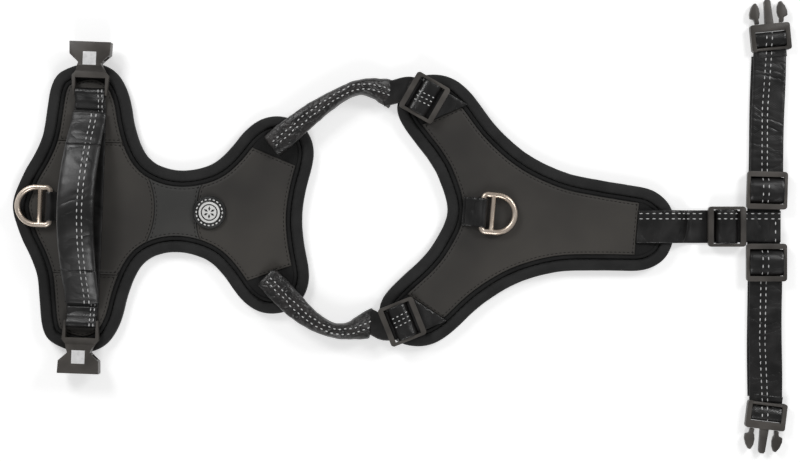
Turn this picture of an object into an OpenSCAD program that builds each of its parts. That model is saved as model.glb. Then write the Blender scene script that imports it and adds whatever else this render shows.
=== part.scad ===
// No-pull dog harness laid out flat: padded back panel, neck straps, padded chest panel and girth strap.
// X runs from the leash ring on the back panel to the girth strap, Z stands up from the surface it lies on.

/* [Webbing] */
// Width of the webbing straps
web_w = 25; // [22:0.5:27]
// Thickness of one layer of webbing
web_t = 1.6; // [1.2:0.1:2]
// Gap between layers that slide over each other
layer_gap = 0.3; // [0.2:0.05:0.5]

/* [Panel layers] */
// Thickness of the mesh lining
lining_t = 1.2; // [0.8:0.1:2]
// Thickness of the foam core
foam_t = 4.2; // [3:0.1:6]
// Thickness of the smooth top cover
cover_t = 1.4; // [0.8:0.1:2]
// Width of the rolled edge binding
edge_w = 8; // [6:0.5:9]
// Height of the rolled edge binding
edge_h = 7.6; // [6.9:0.1:9]
// Width of foam facing seen between the binding and the top cover
facing_w = 4.2; // [3:0.1:6]
// Gap between the binding and what it is rolled around
edge_gap = 0.3; // [0.2:0.05:0.5]

/* [Back panel] */
// Waist to the rear tip
rear_reach = 128.5; // [120:0.5:136]
// Waist to the corners of the front edge
front_reach = 98; // [92:0.5:104]
// How far the front edge dips between its corners
front_scoop = 7; // [3:0.5:10]
// Full width across the wings
wing_span = 218; // [206:1:230]
// Full width at the waist
waist_w = 62; // [56:0.5:70]
// Full width across the front lobes
front_span = 150; // [140:1:158]
// Waist to the rear edge of the wings
wing_rear = 105; // [100:0.5:110]
// Half width at which the wing seams cross
wing_seam = 50; // [44:0.5:54]
// Turn of the back panel on the surface, in degrees
back_turn = -2.2; // [-5:0.1:5]

/* [Handle and buckle strap] */
// Distance of the strap behind the waist
handle_back = 72; // [70:0.2:74]
// Waist line to the webbing bar of a buckle socket
socket_bar_y = 87; // [84:0.5:89]
// Width of the padded handle sleeve
handle_w = 27; // [25:0.5:30]
// Thickness of the handle sleeve at its top
handle_t = 8; // [6:0.5:10]
// Half length of the handle arch
handle_half = 68; // [64:0.5:72]
// Height of the hand gap under the handle
handle_rise = 20; // [18:0.5:26]
// Half length of the part of the arch that swings
handle_swing_half = 46; // [42:0.5:50]
// Rest lean of the handle towards the rear, in degrees
handle_lean = 8; // [0:1:10]

/* [Lead rings] */
// Radius of the ring wire
ring_r = 2; // [1.6:0.1:2.2]
// Overall width of a ring
ring_w = 32; // [30:0.5:35]
// Bar to the far end of the loop
ring_l = 26.5; // [24:0.5:28]
// Bar to the crossbar
crossbar_x = 7.5; // [7:0.1:9]
// Width of the folded tab that holds a ring
tab_w = 22; // [18:0.5:23]
// Length of the sewn tail of a tab
tab_tail = 15; // [12:0.5:18]
// Running clearance round a ring or buckle bar
bar_clear = 0.2; // [0.15:0.05:0.3]
// Waist to the bar of the rear ring
rear_ring_x = 99; // [97:0.25:100]
// Neck edge to the bar of the front ring
front_ring_x = 26; // [22:0.5:32]

/* [Badge] */
// Radius of the rubber badge
badge_r = 12.5; // [10:0.5:14]
// Height of the badge rim
badge_h = 2.4; // [1.5:0.1:3]
// Waist to the middle of the badge
badge_x = 21; // [18:0.5:26]

/* [Buckles] */
// Width of the buckle socket at its mouth
socket_w = 31; // [29.5:0.5:34]
// Webbing bar to the mouth of the socket
socket_l = 37.5; // [36:0.5:41]
// Width of the socket between its side windows
socket_waist = 17; // [15:0.5:19]
// Thickness of the socket at its mouth
socket_t = 10; // [9:0.5:12]
// Thickness of the socket's webbing frame
socket_frame_t = 5; // [4:0.5:6]
// Side of the square reflective insert
reflector = 10; // [8:0.5:12]
// Mouth of the socket to its reflective insert
reflector_in = 7.5; // [6:0.5:8]
// Width of the clip's webbing frame
clip_w = 30; // [29:0.5:33]
// Webbing bar to the front face of the clip's frame
clip_l = 9.5; // [8:0.5:11]
// Webbing bar to the outer bar of the clip's frame
clip_outer = 9.5; // [9:0.5:11]
// Turn of the clips on their webbing, in degrees
clip_turn = 7; // [0:1:8]
// Thickness of the clip
clip_t = 5.2; // [4.6:0.1:6]
// Length of the latch arms
arm_l = 17.5; // [16:0.5:19]
// Radius of a webbing bar
bar_r = 1.7; // [1.4:0.1:2]

/* [Sliders] */
// Length of a slider along the strap
slider_l = 28.5; // [27:0.5:31]
// Width of a slider's side walls
slider_wall = 2.3; // [2:0.1:3]
// Width of a slider's end bars
slider_bar = 4; // [3.5:0.1:4.5]
// Thickness of a slider
slider_t = 4.2; // [3.6:0.1:5]

/* [Neck sleeves] */
// Thickness of a neck sleeve where it lies flat
sleeve_t = 9; // [7:0.5:10]

/* [Chest panel] */
// Neck edge to the end of the tail
tail_reach = 172.5; // [164:0.5:180]
// Full width of the tail
tail_w = 66; // [60:1:74]
// Full width across the arms
arm_span = 206.6; // [198:0.5:214]
// How far the arms reach back from the neck edge
arm_reach = 45; // [43:0.5:47]
// Tail tip back to the end of the smooth cover
bare_tail = 29; // [26:0.5:32]
// Front edge of the back panel to the neck edge of the chest panel
neck_opening = 110; // [104:0.5:116]
// Side offset of the chest panel
chest_y = -0.7; // [-2:0.1:1]
// Turn of the chest panel on the surface, in degrees
chest_turn = -5; // [-7:0.1:-3]

/* [Girth strap] */
// Tail tip to the middle of the girth strap
belly_free = 69.2; // [66:0.1:74]
// Side offset of the belly strap
belly_y = -11.5; // [-13:0.5:-10]
// Width of the belly end sewn on the girth strap
junction_w = 24; // [22:0.5:26]
// Sewn middle to the webbing bar of a clip, along the strap
girth_half = 143.5; // [136:0.5:150]
// Lean of the upper girth strap, in degrees
upper_lean = 1.5; // [0:0.5:3]
// Lean of the lower girth strap, in degrees
lower_lean = 0; // [0:0.5:3]
// How far the under layer shows beside the upper one
under_shift = 1; // [0:0.5:3]

/* [Hidden] */

$fn = 40;

smooth_cover = "#3d3b39";
edge_cloth = "#262626";
foam_cloth = "#1b1b1c";
strap_cloth = "#151516";
moulding = "#454341";
ring_metal = "#d9c3af";
reflective = "#e6e6e6";

foam_top = lining_t + foam_t;
cover_top = foam_top + cover_t;
inner_edge = edge_w + edge_gap;
cover_edge = inner_edge + facing_w;
strap_z = web_t + layer_gap;
strap_top = strap_z + web_t;
slider_z = strap_top + layer_gap;
eye_r = bar_r + bar_clear + web_t;
tab_eye_r = ring_r + bar_clear + web_t;
cut = 0.01;
big = 400;

// A point on the curve that runs smoothly from b to c
function curve_point(a, b, c, d, t) =
    0.5 * (2 * b + (c - a) * t + (2 * a - 5 * b + 4 * c - d) * t * t + (3 * b - a - 3 * c + d) * t * t * t);

// A closed smooth curve through the points
function closed_curve(points, steps) =
    let (n = len(points))
    [for (i = [0 : n - 1], s = [0 : steps - 1])
        curve_point(points[(i + n - 1) % n], points[i], points[(i + 1) % n], points[(i + 2) % n], s / steps)];

// An open smooth curve through the points, ends included
function open_curve(points, steps) =
    let (n = len(points))
    concat(
        [for (i = [0 : n - 2], s = [0 : steps - 1])
            curve_point(points[max(i - 1, 0)], points[i], points[i + 1], points[min(i + 2, n - 1)], s / steps)],
        [points[n - 1]]);

// The half outline from its front middle point to its rear middle point, with its mirror image
function both_halves(half) =
    concat(half, [for (i = [len(half) - 2 : -1 : 1]) [half[i][0], -half[i][1]]]);

// An outline drawn in by a distance
function drawn_in(outline, distance) =
    let (n = len(outline))
    [for (i = [0 : n - 1])
        let (along = outline[(i + 1) % n] - outline[(i + n - 1) % n])
        outline[i] + distance / norm(along) * [-along[1], along[0]]];

front_half = front_span / 2;
wing_half = wing_span / 2;
waist_half = waist_w / 2;
// Rear face of the wings to the line where their inner edges turn to the waist
wing_front = 38;
back_half = [
    [front_reach - front_scoop, 0],
    [front_reach - front_scoop * 0.7, 20],
    [front_reach, front_half - 31],
    [front_reach - 3, front_half - 15],
    [front_reach - 13, front_half - 3.8],
    [front_reach - 28, front_half],
    [front_reach - 41, front_half - 3],
    [front_reach - 53, front_half - 12.5],
    [front_reach - 65, front_half - 28],
    [20, waist_half + 5],
    [0, waist_half],
    [-18, waist_half + 3],
    [-30, waist_half + 12.5],
    [-wing_front, wing_half - 46],
    [-wing_front - 5, wing_half - 24],
    [-wing_front - 14, wing_half - 7.5],
    [-wing_front - 27, wing_half],
    [5 - wing_rear + 21, wing_half],
    [9 - wing_rear, wing_half - 7],
    [2.5 - wing_rear, wing_half - 18],
    [-wing_rear, wing_half - 35],
    [-wing_rear - 2.5, wing_half - 55],
    [-wing_rear - 8.5, 38.5],
    [7 - rear_reach, 23],
    [-rear_reach, 0]
];
back_outline = closed_curve(both_halves(back_half), 3);

tail_half = tail_w / 2;
arm_half = arm_span / 2;
chest_x = front_reach - front_scoop + neck_opening;
cover_end = tail_reach - bare_tail;
// The tail's sides run straight between its root and its rounded tip
tail_root = 76;
tail_run = tail_reach - 42 - tail_root;
chest_half = [
    [tail_reach, 0],
    [tail_reach - 1.5, tail_half - 22],
    [tail_reach - 5.5, tail_half - 13],
    [tail_reach - 13, tail_half - 6],
    [tail_reach - 24, tail_half - 1.5],
    [tail_reach - 42, tail_half],
    [tail_root + 0.63 * tail_run, tail_half + 1.7],
    [tail_root + 0.3 * tail_run, tail_half + 3.7],
    [tail_root, tail_half + 8],
    [58, tail_half + 15.5],
    [42, tail_half + 26],
    [28, arm_half - 32],
    [16, arm_half - 18.3],
    [7, arm_half - 9.3],
    [-3, arm_half - 2.8],
    [-15, arm_half],
    [-29, arm_half - 2.3],
    [5 - arm_reach, arm_half - 11.3],
    [-arm_reach, arm_half - 24],
    [1.5 - arm_reach, arm_half - 34],
    [8 - arm_reach, arm_half - 44],
    [-27, 48],
    [-17, 37],
    [-8, 23],
    [0, 0]
];
chest_outline = closed_curve(both_halves(chest_half), 3);

// Places the back panel and the chest panel on the surface
module on_back() { rotate(back_turn) children(); }
module on_chest() { translate([chest_x, chest_y, 0]) rotate(chest_turn) children(); }

// A flat layer of a panel
module layer(outline, inset, z, t) {
    translate([0, 0, z]) linear_extrude(t) polygon(drawn_in(outline, inset));
}

// Rounded section of the rolled edge: distance in from the outline, and height
function softened(v) = sign(v) * pow(abs(v), 0.65);
edge_section = [for (a = [0 : 40 : 320])
    [edge_w / 2 * (1 - softened(cos(a + 10))), edge_h / 2 * (1 + softened(sin(a + 10)))]];

// A closed roll that follows an outline
module rolled_edge(outline) {
    rings = [for (p = edge_section) drawn_in(outline, p[0])];
    n = len(outline);
    m = len(edge_section);
    points = [for (i = [0 : n - 1], j = [0 : m - 1]) [rings[j][i][0], rings[j][i][1], edge_section[j][1]]];
    faces = [for (i = [0 : n - 1], j = [0 : m - 1])
        let (a = i * m + j, b = i * m + (j + 1) % m, c = (i + 1) % n * m + (j + 1) % m, d = (i + 1) % n * m + j)
        each [[a, b, c], [a, c, d]]];
    polyhedron(points, faces);
}

// A soft tube along a path; each station is [x, y, z, width across, height]
module soft_tube(stations, sides) {
    n = len(stations);
    function centre(i) = [stations[i][0], stations[i][1], stations[i][2]];
    function heading(i) =
        let (v = centre(min(i + 1, n - 1)) - centre(max(i - 1, 0))) [v[0], v[1]] / norm([v[0], v[1]]);
    points = [for (i = [0 : n - 1], j = [0 : sides - 1])
        let (a = 360 * (j + 0.5) / sides, h = heading(i),
             across = stations[i][3] / 2 * softened(cos(a)), up = stations[i][4] / 2 * softened(sin(a)))
        centre(i) + [-h[1] * across, h[0] * across, up]];
    walls = [for (i = [0 : n - 2], j = [0 : sides - 1])
        let (a = i * sides + j, b = i * sides + (j + 1) % sides, c = b + sides, d = a + sides)
        each [[a, b, c], [a, c, d]]];
    polyhedron(points, concat(walls, [[for (j = [sides - 1 : -1 : 0]) j]],
        [[for (j = [0 : sides - 1]) (n - 1) * sides + j]]));
}

// ---- Back panel ----

module back_lining() color(foam_cloth) on_back() layer(back_outline, inner_edge, 0, lining_t);

module back_foam() color(foam_cloth) on_back() layer(back_outline, inner_edge, lining_t, foam_t);

module back_binding() color(edge_cloth) on_back() rolled_edge(back_outline);

// The smooth cover is cut into five pieces along its seams
seam_gap = 0.3;
yoke_seam_r = 57.5;
yoke_seam_x = -21;
module back_cover_sheet() layer(back_outline, cover_edge, foam_top, cover_t);
module wing_seam_block(side) {
    translate([-big / 2, side > 0 ? wing_seam : -wing_seam - big, 0])
        cube([big / 2 - wing_front + 8, big, big]);
}
module yoke_seam_disc(grow) {
    translate([yoke_seam_x - yoke_seam_r, 0, 0]) cylinder(r = yoke_seam_r + grow, h = big, $fn = 90);
    translate([-big, -big / 2, 0]) cube([big + yoke_seam_x - yoke_seam_r / 2.2 + grow, big, big]);
}
front_seam = [[badge_x - 4, 40], [badge_x - 5, 25], [badge_x - 9.5, 13], [badge_x - 9.5, -13],
    [badge_x - 5, -25], [badge_x - 4, -40], [big, -40], [big, 40]];
pocket_start = [48.5, 51.5];
pocket_end = [86.5, 37];
module front_region(shrink) {
    translate([shrink, 0, 0]) linear_extrude(big)
        polygon(concat([for (i = [0 : 5]) front_seam[i]], [[44, -big], [big, -big], [big, big], [44, big]]));
}

module yoke_cover() color(smooth_cover) on_back() intersection() {
    back_cover_sheet();
    yoke_seam_disc(0);
    translate([-big / 2, seam_gap / 2 - wing_seam, 0]) cube([big, 2 * wing_seam - seam_gap, big]);
}

module wing_cover(side) color(smooth_cover) on_back() intersection() {
    back_cover_sheet();
    wing_seam_block(side);
    translate([0, side * seam_gap / 2, 0]) wing_seam_block(side);
}
module upper_wing_cover() wing_cover(1);
module lower_wing_cover() wing_cover(-1);

module saddle_cover() color(smooth_cover) on_back() difference() {
    intersection() {
        back_cover_sheet();
        translate([-40, -45, 0]) cube([100, 90, big]);
    }
    yoke_seam_disc(seam_gap);
    front_region(-seam_gap);
}

// The corners of the front cover are left open where the neck sleeves enter
module front_cover() color(smooth_cover) on_back() difference() {
    intersection() {
        back_cover_sheet();
        front_region(0);
    }
    along = pocket_end - pocket_start;
    a = pocket_start - along;
    b = pocket_start + 4 * along;
    for (side = [-1, 1]) linear_extrude(big)
        polygon([[a[0], side * a[1]], [b[0], side * b[1]], [big, side * big], [a[0], side * big]]);
}

module badge() color(strap_cloth) on_back() translate([badge_x, 0, cover_top]) rotate_extrude($fn = 60)
    polygon([[0, 0], [badge_r, 0], [badge_r, badge_h - 0.8], [badge_r - 0.8, badge_h],
        [badge_r - 3.2, badge_h], [badge_r - 3.8, badge_h - 0.6], [0, badge_h - 0.6]]);

// ---- Rings and the folded webbing that holds a bar ----

// Points of an arc about the origin, in equal steps
function arc(r, from, to, steps) = [for (i = [0 : steps]) let (a = from + (to - from) * i / steps)
    r * [cos(a), sin(a)]];

// Webbing folded round a bar along Y at the origin, tail towards -X, lying on the plane below the bar
module folded_tab(width, radius, tail) {
    outer = radius + bar_clear + web_t;
    rotate([90, 0, 0]) translate([0, 0, -width / 2]) linear_extrude(width) difference() {
        polygon(concat([[-tail, -outer]], arc(outer, -90, 125, 14),
            [[-outer * 2.6, -outer + web_t], [-tail, -outer + web_t]]));
        circle(r = radius + bar_clear);
    }
}

// A D-shaped ring with a crossbar; its bar lies along Y at the origin and its loop towards +X
ring_corner = 3.2;
module lead_ring() {
    reach = ring_w / 2 - ring_r;
    arc_x = ring_l - ring_r - reach;
    rotate([90, 0, 0]) cylinder(r = ring_r, h = 2 * (reach - ring_corner), center = true);
    translate([crossbar_x, 0, 0]) rotate([90, 0, 0]) cylinder(r = ring_r - 0.25, h = 2 * reach, center = true);
    for (side = [-1, 1]) {
        translate([ring_corner, side * reach, 0]) rotate([0, 90, 0])
            cylinder(r = ring_r, h = arc_x - ring_corner);
        translate([ring_corner, side * (reach - ring_corner), 0]) rotate(side > 0 ? 90 : 180)
            rotate_extrude(angle = 90) translate([ring_corner, 0]) circle(r = ring_r);
    }
    translate([arc_x, 0, 0]) rotate(-90) rotate_extrude(angle = 180, $fn = 60)
        translate([reach, 0]) circle(r = ring_r);
}

rear_ring_z = cover_top + tab_eye_r;
module at_rear_ring() on_back() translate([-rear_ring_x, 0, rear_ring_z]) rotate(180) children();
module at_front_ring() on_chest() translate([front_ring_x, 2, rear_ring_z]) children();

module rear_ring_tab() color(strap_cloth) at_rear_ring()
    folded_tab(tab_w, ring_r, rear_ring_x - handle_back - web_w / 2 - layer_gap);
module rear_lead_ring() color(ring_metal) at_rear_ring() lead_ring();
module front_ring_tab() color(strap_cloth) at_front_ring() folded_tab(tab_w, ring_r, tab_tail);
module front_lead_ring() color(ring_metal) at_front_ring() lead_ring();

// ---- Buckle strap and handle ----

eye_w = web_w - 3;
socket_z = cover_top + eye_r;
module buckle_strap() color(strap_cloth) on_back() {
    strap_end = socket_bar_y - eye_r * 1.5;
    translate([-handle_back - web_w / 2, -strap_end, cover_top]) cube([web_w, 2 * strap_end, web_t]);
    for (side = [-1, 1]) translate([-handle_back, side * socket_bar_y, socket_z]) rotate(90 * side)
        folded_tab(eye_w, bar_r, eye_r * 1.5 + cut);
}

// Height of the underside of the handle arch at a distance from its middle
handle_base = cover_top + web_t;
function arch_rise(y) = handle_rise * pow(max(cos(90 * y / handle_half), 0), 1.1);
function arch_t(y) = web_t + (handle_t - web_t) * pow(max(cos(80 * y / handle_half), 0), 0.5);
module handle_arch(from, to) {
    steps = 14;
    ys = [for (i = [0 : steps]) from + (to - from) * i / steps];
    translate([-handle_back, 0, handle_base]) rotate([0, -handle_lean, 0]) rotate([90, 0, 90])
        translate([0, 0, -handle_w / 2]) linear_extrude(handle_w)
            polygon(concat([for (y = ys) [y, arch_rise(y)]],
                [for (i = [steps : -1 : 0]) [ys[i], arch_rise(ys[i]) + arch_t(ys[i])]]));
}
swing_gap = 0.3;
module handle_grip() color(strap_cloth) on_back() handle_arch(-handle_swing_half, handle_swing_half);

// The sewn ends lean less than the arch, and lie flat at their seams
module handle_end(side) color(strap_cloth) on_back() intersection() {
    handle_arch(side * (handle_swing_half + swing_gap), side * (handle_half + 4));
    translate([-big, -big, handle_base]) cube(2 * big);
}
module upper_handle_end() handle_end(1);
module lower_handle_end() handle_end(-1);

// ---- Buckle sockets ----

socket_floor = -bar_r - 0.8;
frame_half = eye_w / 2 + 3;
mouth_half = socket_w / 2;
// Socket seen from above: bar at the origin, mouth towards +X
socket_half_outline = [
    [-bar_r - 0.5, frame_half - 1.2], [socket_l - 25, frame_half], [socket_l - 22, frame_half - 2.6],
    [socket_l - 17, socket_waist / 2 + 0.3], [socket_l - 15.5, socket_waist / 2],
    [socket_l - 11.5, mouth_half - 2.6], [socket_l - 9.5, mouth_half - 0.4], [socket_l, mouth_half]
];
module socket_body() {
    window_l = 7.5;
    slot_h = clip_t + 0.8;
    head_start = socket_l - 21.5;
    difference() {
        union() {
            translate([0, 0, socket_floor]) linear_extrude(socket_frame_t)
                polygon(concat(socket_half_outline,
                    [for (i = [len(socket_half_outline) - 1 : -1 : 0])
                        [socket_half_outline[i][0], -socket_half_outline[i][1]]]));
            // the head thickens towards the mouth
            rotate([90, 0, 0]) translate([0, 0, -big / 2]) intersection() {
                translate([0, 0, big / 2]) rotate([-90, 0, 0]) linear_extrude(big, center = true)
                    polygon([for (i = [2 : 7]) socket_half_outline[i], for (i = [7 : -1 : 2])
                        [socket_half_outline[i][0], -socket_half_outline[i][1]]]);
                linear_extrude(big) polygon([[head_start, socket_floor], [socket_l, socket_floor],
                    [socket_l, socket_floor + socket_t], [head_start + 3.5, socket_floor + socket_t],
                    [head_start, socket_floor + socket_frame_t]]);
            }
        }
        // window for the folded webbing, on both sides of the webbing bar
        translate([-eye_r, -eye_w / 2 - 0.4, socket_floor - cut])
            cube([window_l + 2 * eye_r, eye_w + 0.8, big]);
        // slot that takes the clip
        translate([socket_l - 14, -mouth_half + 1.8, socket_floor + (socket_t - slot_h) / 2])
            cube([14 + cut, 2 * mouth_half - 3.6, slot_h]);
    }
    rotate([90, 0, 0]) cylinder(r = bar_r, h = eye_w + 4, center = true);
}
module at_socket(side) on_back() translate([-handle_back, side * socket_bar_y, socket_z]) rotate(90 * side)
    children();
module upper_socket() color(moulding) at_socket(1) socket_body();
module lower_socket() color(moulding) at_socket(-1) socket_body();
module reflector_plate() cube([reflector, reflector, 0.4]);
module at_reflector(side) at_socket(side)
    translate([socket_l - reflector_in - reflector, -reflector / 2, socket_floor + socket_t]) children();
module upper_reflector() color(reflective) at_reflector(1) reflector_plate();
module lower_reflector() color(reflective) at_reflector(-1) reflector_plate();

// ---- Neck sleeves, webbing and sliders ----

// The line across both neck straps where the chest panel folds over, behind the chest panel's arms
fold_x = -50;
fold_z = edge_h + layer_gap + web_t;

// Stations of the sleeves: x, y, height of the middle, width across, height
sleeve_low = sleeve_t / 2;
upper_sleeve = [
    [68, 49, foam_top + sleeve_low + 0.3, 20, sleeve_t], [77, 56, edge_h + sleeve_low, 20.5, sleeve_t],
    [88.3, 65.4, edge_h + sleeve_low + 0.6, 19, sleeve_t], [98.5, 73.6, edge_h + sleeve_low, 17, sleeve_t + 1],
    [109.5, 81.2, 11, 14, 14], [121.3, 88.7, 10, 11, 17], [134, 94.3, 9.2, 11, 17],
    [146, 93.2, 7.5, 16, 13], [156, 90, fold_z - 4.6, 22, 8], [166, 86, fold_z - 4.6, 24, 7.6]
];
lower_sleeve = [
    [64, -49, foam_top + sleeve_low + 0.3, 20, sleeve_t], [72.5, -57.5, edge_h + sleeve_low, 20.5, sleeve_t],
    [82, -67.5, edge_h + sleeve_low + 0.6, 20, sleeve_t], [92.4, -77.5, edge_h + sleeve_low, 17, sleeve_t + 1],
    [103.5, -85.3, 11, 13.5, 14], [115.3, -90.3, 10, 11, 17], [126, -90.6, 9, 13, 16],
    [137, -87.3, 6.6, 20, 12], [144, -84.6, fold_z - 4.6, 23, 8], [152, -81.5, fold_z - 4.6, 24, 7.6]
];
module before_fold(gap) difference() {
    children();
    on_chest() translate([fold_x - gap, -big, -big]) cube(2 * big);
}
module after_fold() intersection() {
    children();
    on_chest() translate([fold_x, -big, -big]) cube(2 * big);
}
module upper_neck_sleeve() color(strap_cloth) before_fold(layer_gap) soft_tube(open_curve(upper_sleeve, 3), 12);
module lower_neck_sleeve() color(strap_cloth) before_fold(layer_gap) soft_tube(open_curve(lower_sleeve, 3), 12);

// Middle of each neck slider on the chest panel, and the turn of its strap
upper_slider_at = [-25, arm_half - 19];
upper_slider_turn = -25;
lower_slider_at = [-27.2, 18.3 - arm_half];
lower_slider_turn = 27;
neck_web_z = edge_h + layer_gap;
module at_neck_slider(at, turn) on_chest() translate([at[0], at[1], 0]) rotate(turn) children();

// Where the webbing comes out of each sleeve, on the chest panel's own axes
upper_sleeve_end = [-50.2, 86.2];
lower_sleeve_end = [-48, -88.3];
web_drop = 8;
web_tail = 9;

// Webbing from the sleeve, over the rolled edge and down into the pocket of the chest cover
module neck_webbing(at, turn, from) {
    along = [cos(turn), sin(turn)];
    square_off = [-along[1], along[0]] * web_w / 2;
    entry = at - along * slider_l / 2;
    lead = (entry - from) / norm(entry - from);
    lead_off = [-lead[1], lead[0]] * (web_w / 2 - 3);
    entry_off = square_off * 0.6;
    back = from - lead * 6;
    edge_x = slider_l / 2;
    low_x = edge_x + web_drop;
    after_fold() union() {
        on_chest() translate([0, 0, neck_web_z]) linear_extrude(web_t) polygon([back + lead_off,
            from + lead_off, entry + entry_off, at + square_off, at - square_off, entry - entry_off,
            from - lead_off, back - lead_off]);
        at_neck_slider(at, turn) rotate([90, 0, 0]) translate([0, 0, -web_w / 2]) linear_extrude(web_w)
            polygon([[-cut, neck_web_z], [edge_x, neck_web_z], [low_x, foam_top],
                [low_x + web_tail, foam_top], [low_x + web_tail, foam_top + web_t],
                [low_x + 0.6, foam_top + web_t], [edge_x + 0.6, neck_web_z + web_t],
                [-cut, neck_web_z + web_t]]);
    }
}
// The straight edge of each pocket, from its inner to its outer end
neck_pocket_inner = [-24, arm_half - 38.3];
neck_pocket_outer = [7, arm_half - 21.3];
module beyond_pocket(side) on_chest() {
    along = neck_pocket_outer - neck_pocket_inner;
    inner = neck_pocket_inner - 2 * along;
    outer = neck_pocket_outer + 5 * along;
    linear_extrude(big) polygon([[inner[0], side * inner[1]], [inner[0], 0], [big, 0], [big, side * outer[1]],
        [outer[0], side * outer[1]]]);
}
module upper_neck_webbing() color(strap_cloth) difference() {
    neck_webbing(upper_slider_at, upper_slider_turn, upper_sleeve_end);
    beyond_pocket(1);
}
module lower_neck_webbing() color(strap_cloth) difference() {
    neck_webbing(lower_slider_at, lower_slider_turn, lower_sleeve_end);
    beyond_pocket(-1);
}

// A square slider with a middle bar; the strap runs along X
slider_w = web_w + 0.8 + 2 * slider_wall;
module rounded_block(l, w, t, r) {
    linear_extrude(t) {
        translate([-l / 2 + r, -w / 2]) square([l - 2 * r, w]);
        translate([-l / 2, -w / 2 + r]) square([l, w - 2 * r]);
        for (x = [-1, 1], y = [-1, 1]) translate([x * (l / 2 - r), y * (w / 2 - r)]) circle(r = r);
    }
}
module slider_frame() {
    difference() {
        rounded_block(slider_l, slider_w, slider_t, 2.5);
        translate([-slider_l / 2 + slider_bar, -web_w / 2 - 0.4, -cut])
            cube([slider_l - 2 * slider_bar, web_w + 0.8, slider_t + 2 * cut]);
    }
    translate([0, 0, slider_t / 2 + 0.3]) rotate([90, 0, 0])
        cylinder(r = slider_t / 2 - 0.3, h = web_w + 2, center = true);
}

// Webbing folded over a slider's middle bar
module slider_fold() {
    crown = slider_t / 2 + 0.3;
    clear_r = slider_t / 2 - 0.3 + bar_clear;
    reach = slider_l / 2 - slider_bar - 0.4;
    leg = web_t * 1.5;
    rotate([90, 0, 0]) translate([0, crown, -web_w / 2]) linear_extrude(web_w) polygon(concat(
        [[-reach, -crown], [leg - reach, -crown]], arc(clear_r, 180, 0, 9),
        [[reach - leg, -crown], [reach, -crown]], arc(clear_r + web_t, 38, 142, 6)));
}
neck_slider_z = neck_web_z + web_t + layer_gap;
module at_upper_neck() translate([0, 0, neck_slider_z])
    at_neck_slider(upper_slider_at, upper_slider_turn) children();
module at_lower_neck() translate([0, 0, neck_slider_z])
    at_neck_slider(lower_slider_at, lower_slider_turn) children();
module upper_neck_slider() color(moulding) at_upper_neck() slider_frame();
module lower_neck_slider() color(moulding) at_lower_neck() slider_frame();
module upper_neck_fold() color(strap_cloth) at_upper_neck() slider_fold();
module lower_neck_fold() color(strap_cloth) at_lower_neck() slider_fold();

// ---- Chest panel ----

module chest_lining() color(foam_cloth) on_chest() layer(chest_outline, inner_edge, 0, lining_t);
module chest_foam() color(foam_cloth) on_chest() layer(chest_outline, inner_edge, lining_t, foam_t);
module chest_binding() color(edge_cloth) on_chest() rolled_edge(chest_outline);

// The cover stops at the pockets of the neck straps and at the seam on the tail
module chest_cover() color(smooth_cover) difference() {
    intersection() {
        on_chest() layer(chest_outline, cover_edge, foam_top, cover_t);
        union() for (side = [-1, 1]) beyond_pocket(side);
        on_chest() translate([-big, -big, 0]) cube([big + cover_end, 2 * big, big]);
    }
}

// ---- Belly strap ----

tail_x = chest_x + tail_reach * cos(chest_turn);
girth_x = tail_x + belly_free;
belly_slider_x = girth_x - (slider_w + slider_l) / 2 - 0.5;
tail_rise = edge_h + layer_gap;
// Belly webbing from the seam on the tail, over the rolled edge and down to the surface
module belly_webbing() color(strap_cloth) intersection() {
    belly_end = belly_slider_x + slider_l / 4;
    translate([0, belly_y + web_w / 2, 0]) rotate([90, 0, 0]) linear_extrude(web_w) polygon([
        [tail_x - bare_tail * 2, foam_top], [tail_x - 16, foam_top], [tail_x - 12, tail_rise],
        [tail_x + 2, tail_rise], [tail_x + 10, 0], [belly_end, 0], [belly_end, web_t], [tail_x + 11, web_t],
        [tail_x + 3, tail_rise + web_t], [tail_x - 13, tail_rise + web_t], [tail_x - 17, foam_top + web_t],
        [tail_x - bare_tail * 2, foam_top + web_t]]);
    on_chest() translate([cover_end + layer_gap, -big, -big]) cube(2 * big);
}
module at_belly_slider() translate([belly_slider_x, belly_y, slider_z]) children();
module belly_slider() color(moulding) at_belly_slider() slider_frame();
module belly_fold() color(strap_cloth) at_belly_slider() slider_fold();

// The end of the belly webbing is sewn across the middle of the girth strap
module belly_end_webbing() color(strap_cloth)
    translate([belly_slider_x - 8.5, belly_y - junction_w / 2, strap_z])
        cube([girth_x + web_w / 2 - 1 - belly_slider_x + 8.5, junction_w, web_t]);
module girth_middle() color(strap_cloth)
    translate([girth_x - web_w / 2 - under_shift, belly_y - junction_w / 2, 0])
    cube([web_w, junction_w, web_t + layer_gap]);

// ---- Girth strap: y runs outwards from the fold beside the sewn middle ----

module at_girth(side) {
    lean = side > 0 ? upper_lean : lower_lean;
    fold_y = junction_w / 2 + layer_gap + web_w / 2 * sin(lean);
    translate([girth_x, belly_y + side * fold_y, 0]) mirror([0, side > 0 ? 0 : 1, 0]) rotate(-lean) children();
}
girth_slider_y = slider_l / 2 + 0.6;
clip_bar_y = girth_half - junction_w / 2;
clip_z = clip_t / 2 + 1;
module girth_webbing() translate([-web_w / 2 - under_shift, 0, 0])
    cube([web_w, clip_bar_y - clip_outer - 5, web_t]);
module upper_girth_webbing() color(strap_cloth) at_girth(1) girth_webbing();
module lower_girth_webbing() color(strap_cloth) at_girth(-1) girth_webbing();

module at_girth_slider(side) at_girth(side) translate([0, girth_slider_y, slider_z]) rotate(90) children();
module upper_girth_slider() color(moulding) at_girth_slider(1) slider_frame();
module lower_girth_slider() color(moulding) at_girth_slider(-1) slider_frame();
module upper_girth_fold() color(strap_cloth) at_girth_slider(1) slider_fold();
module lower_girth_fold() color(strap_cloth) at_girth_slider(-1) slider_fold();

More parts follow.
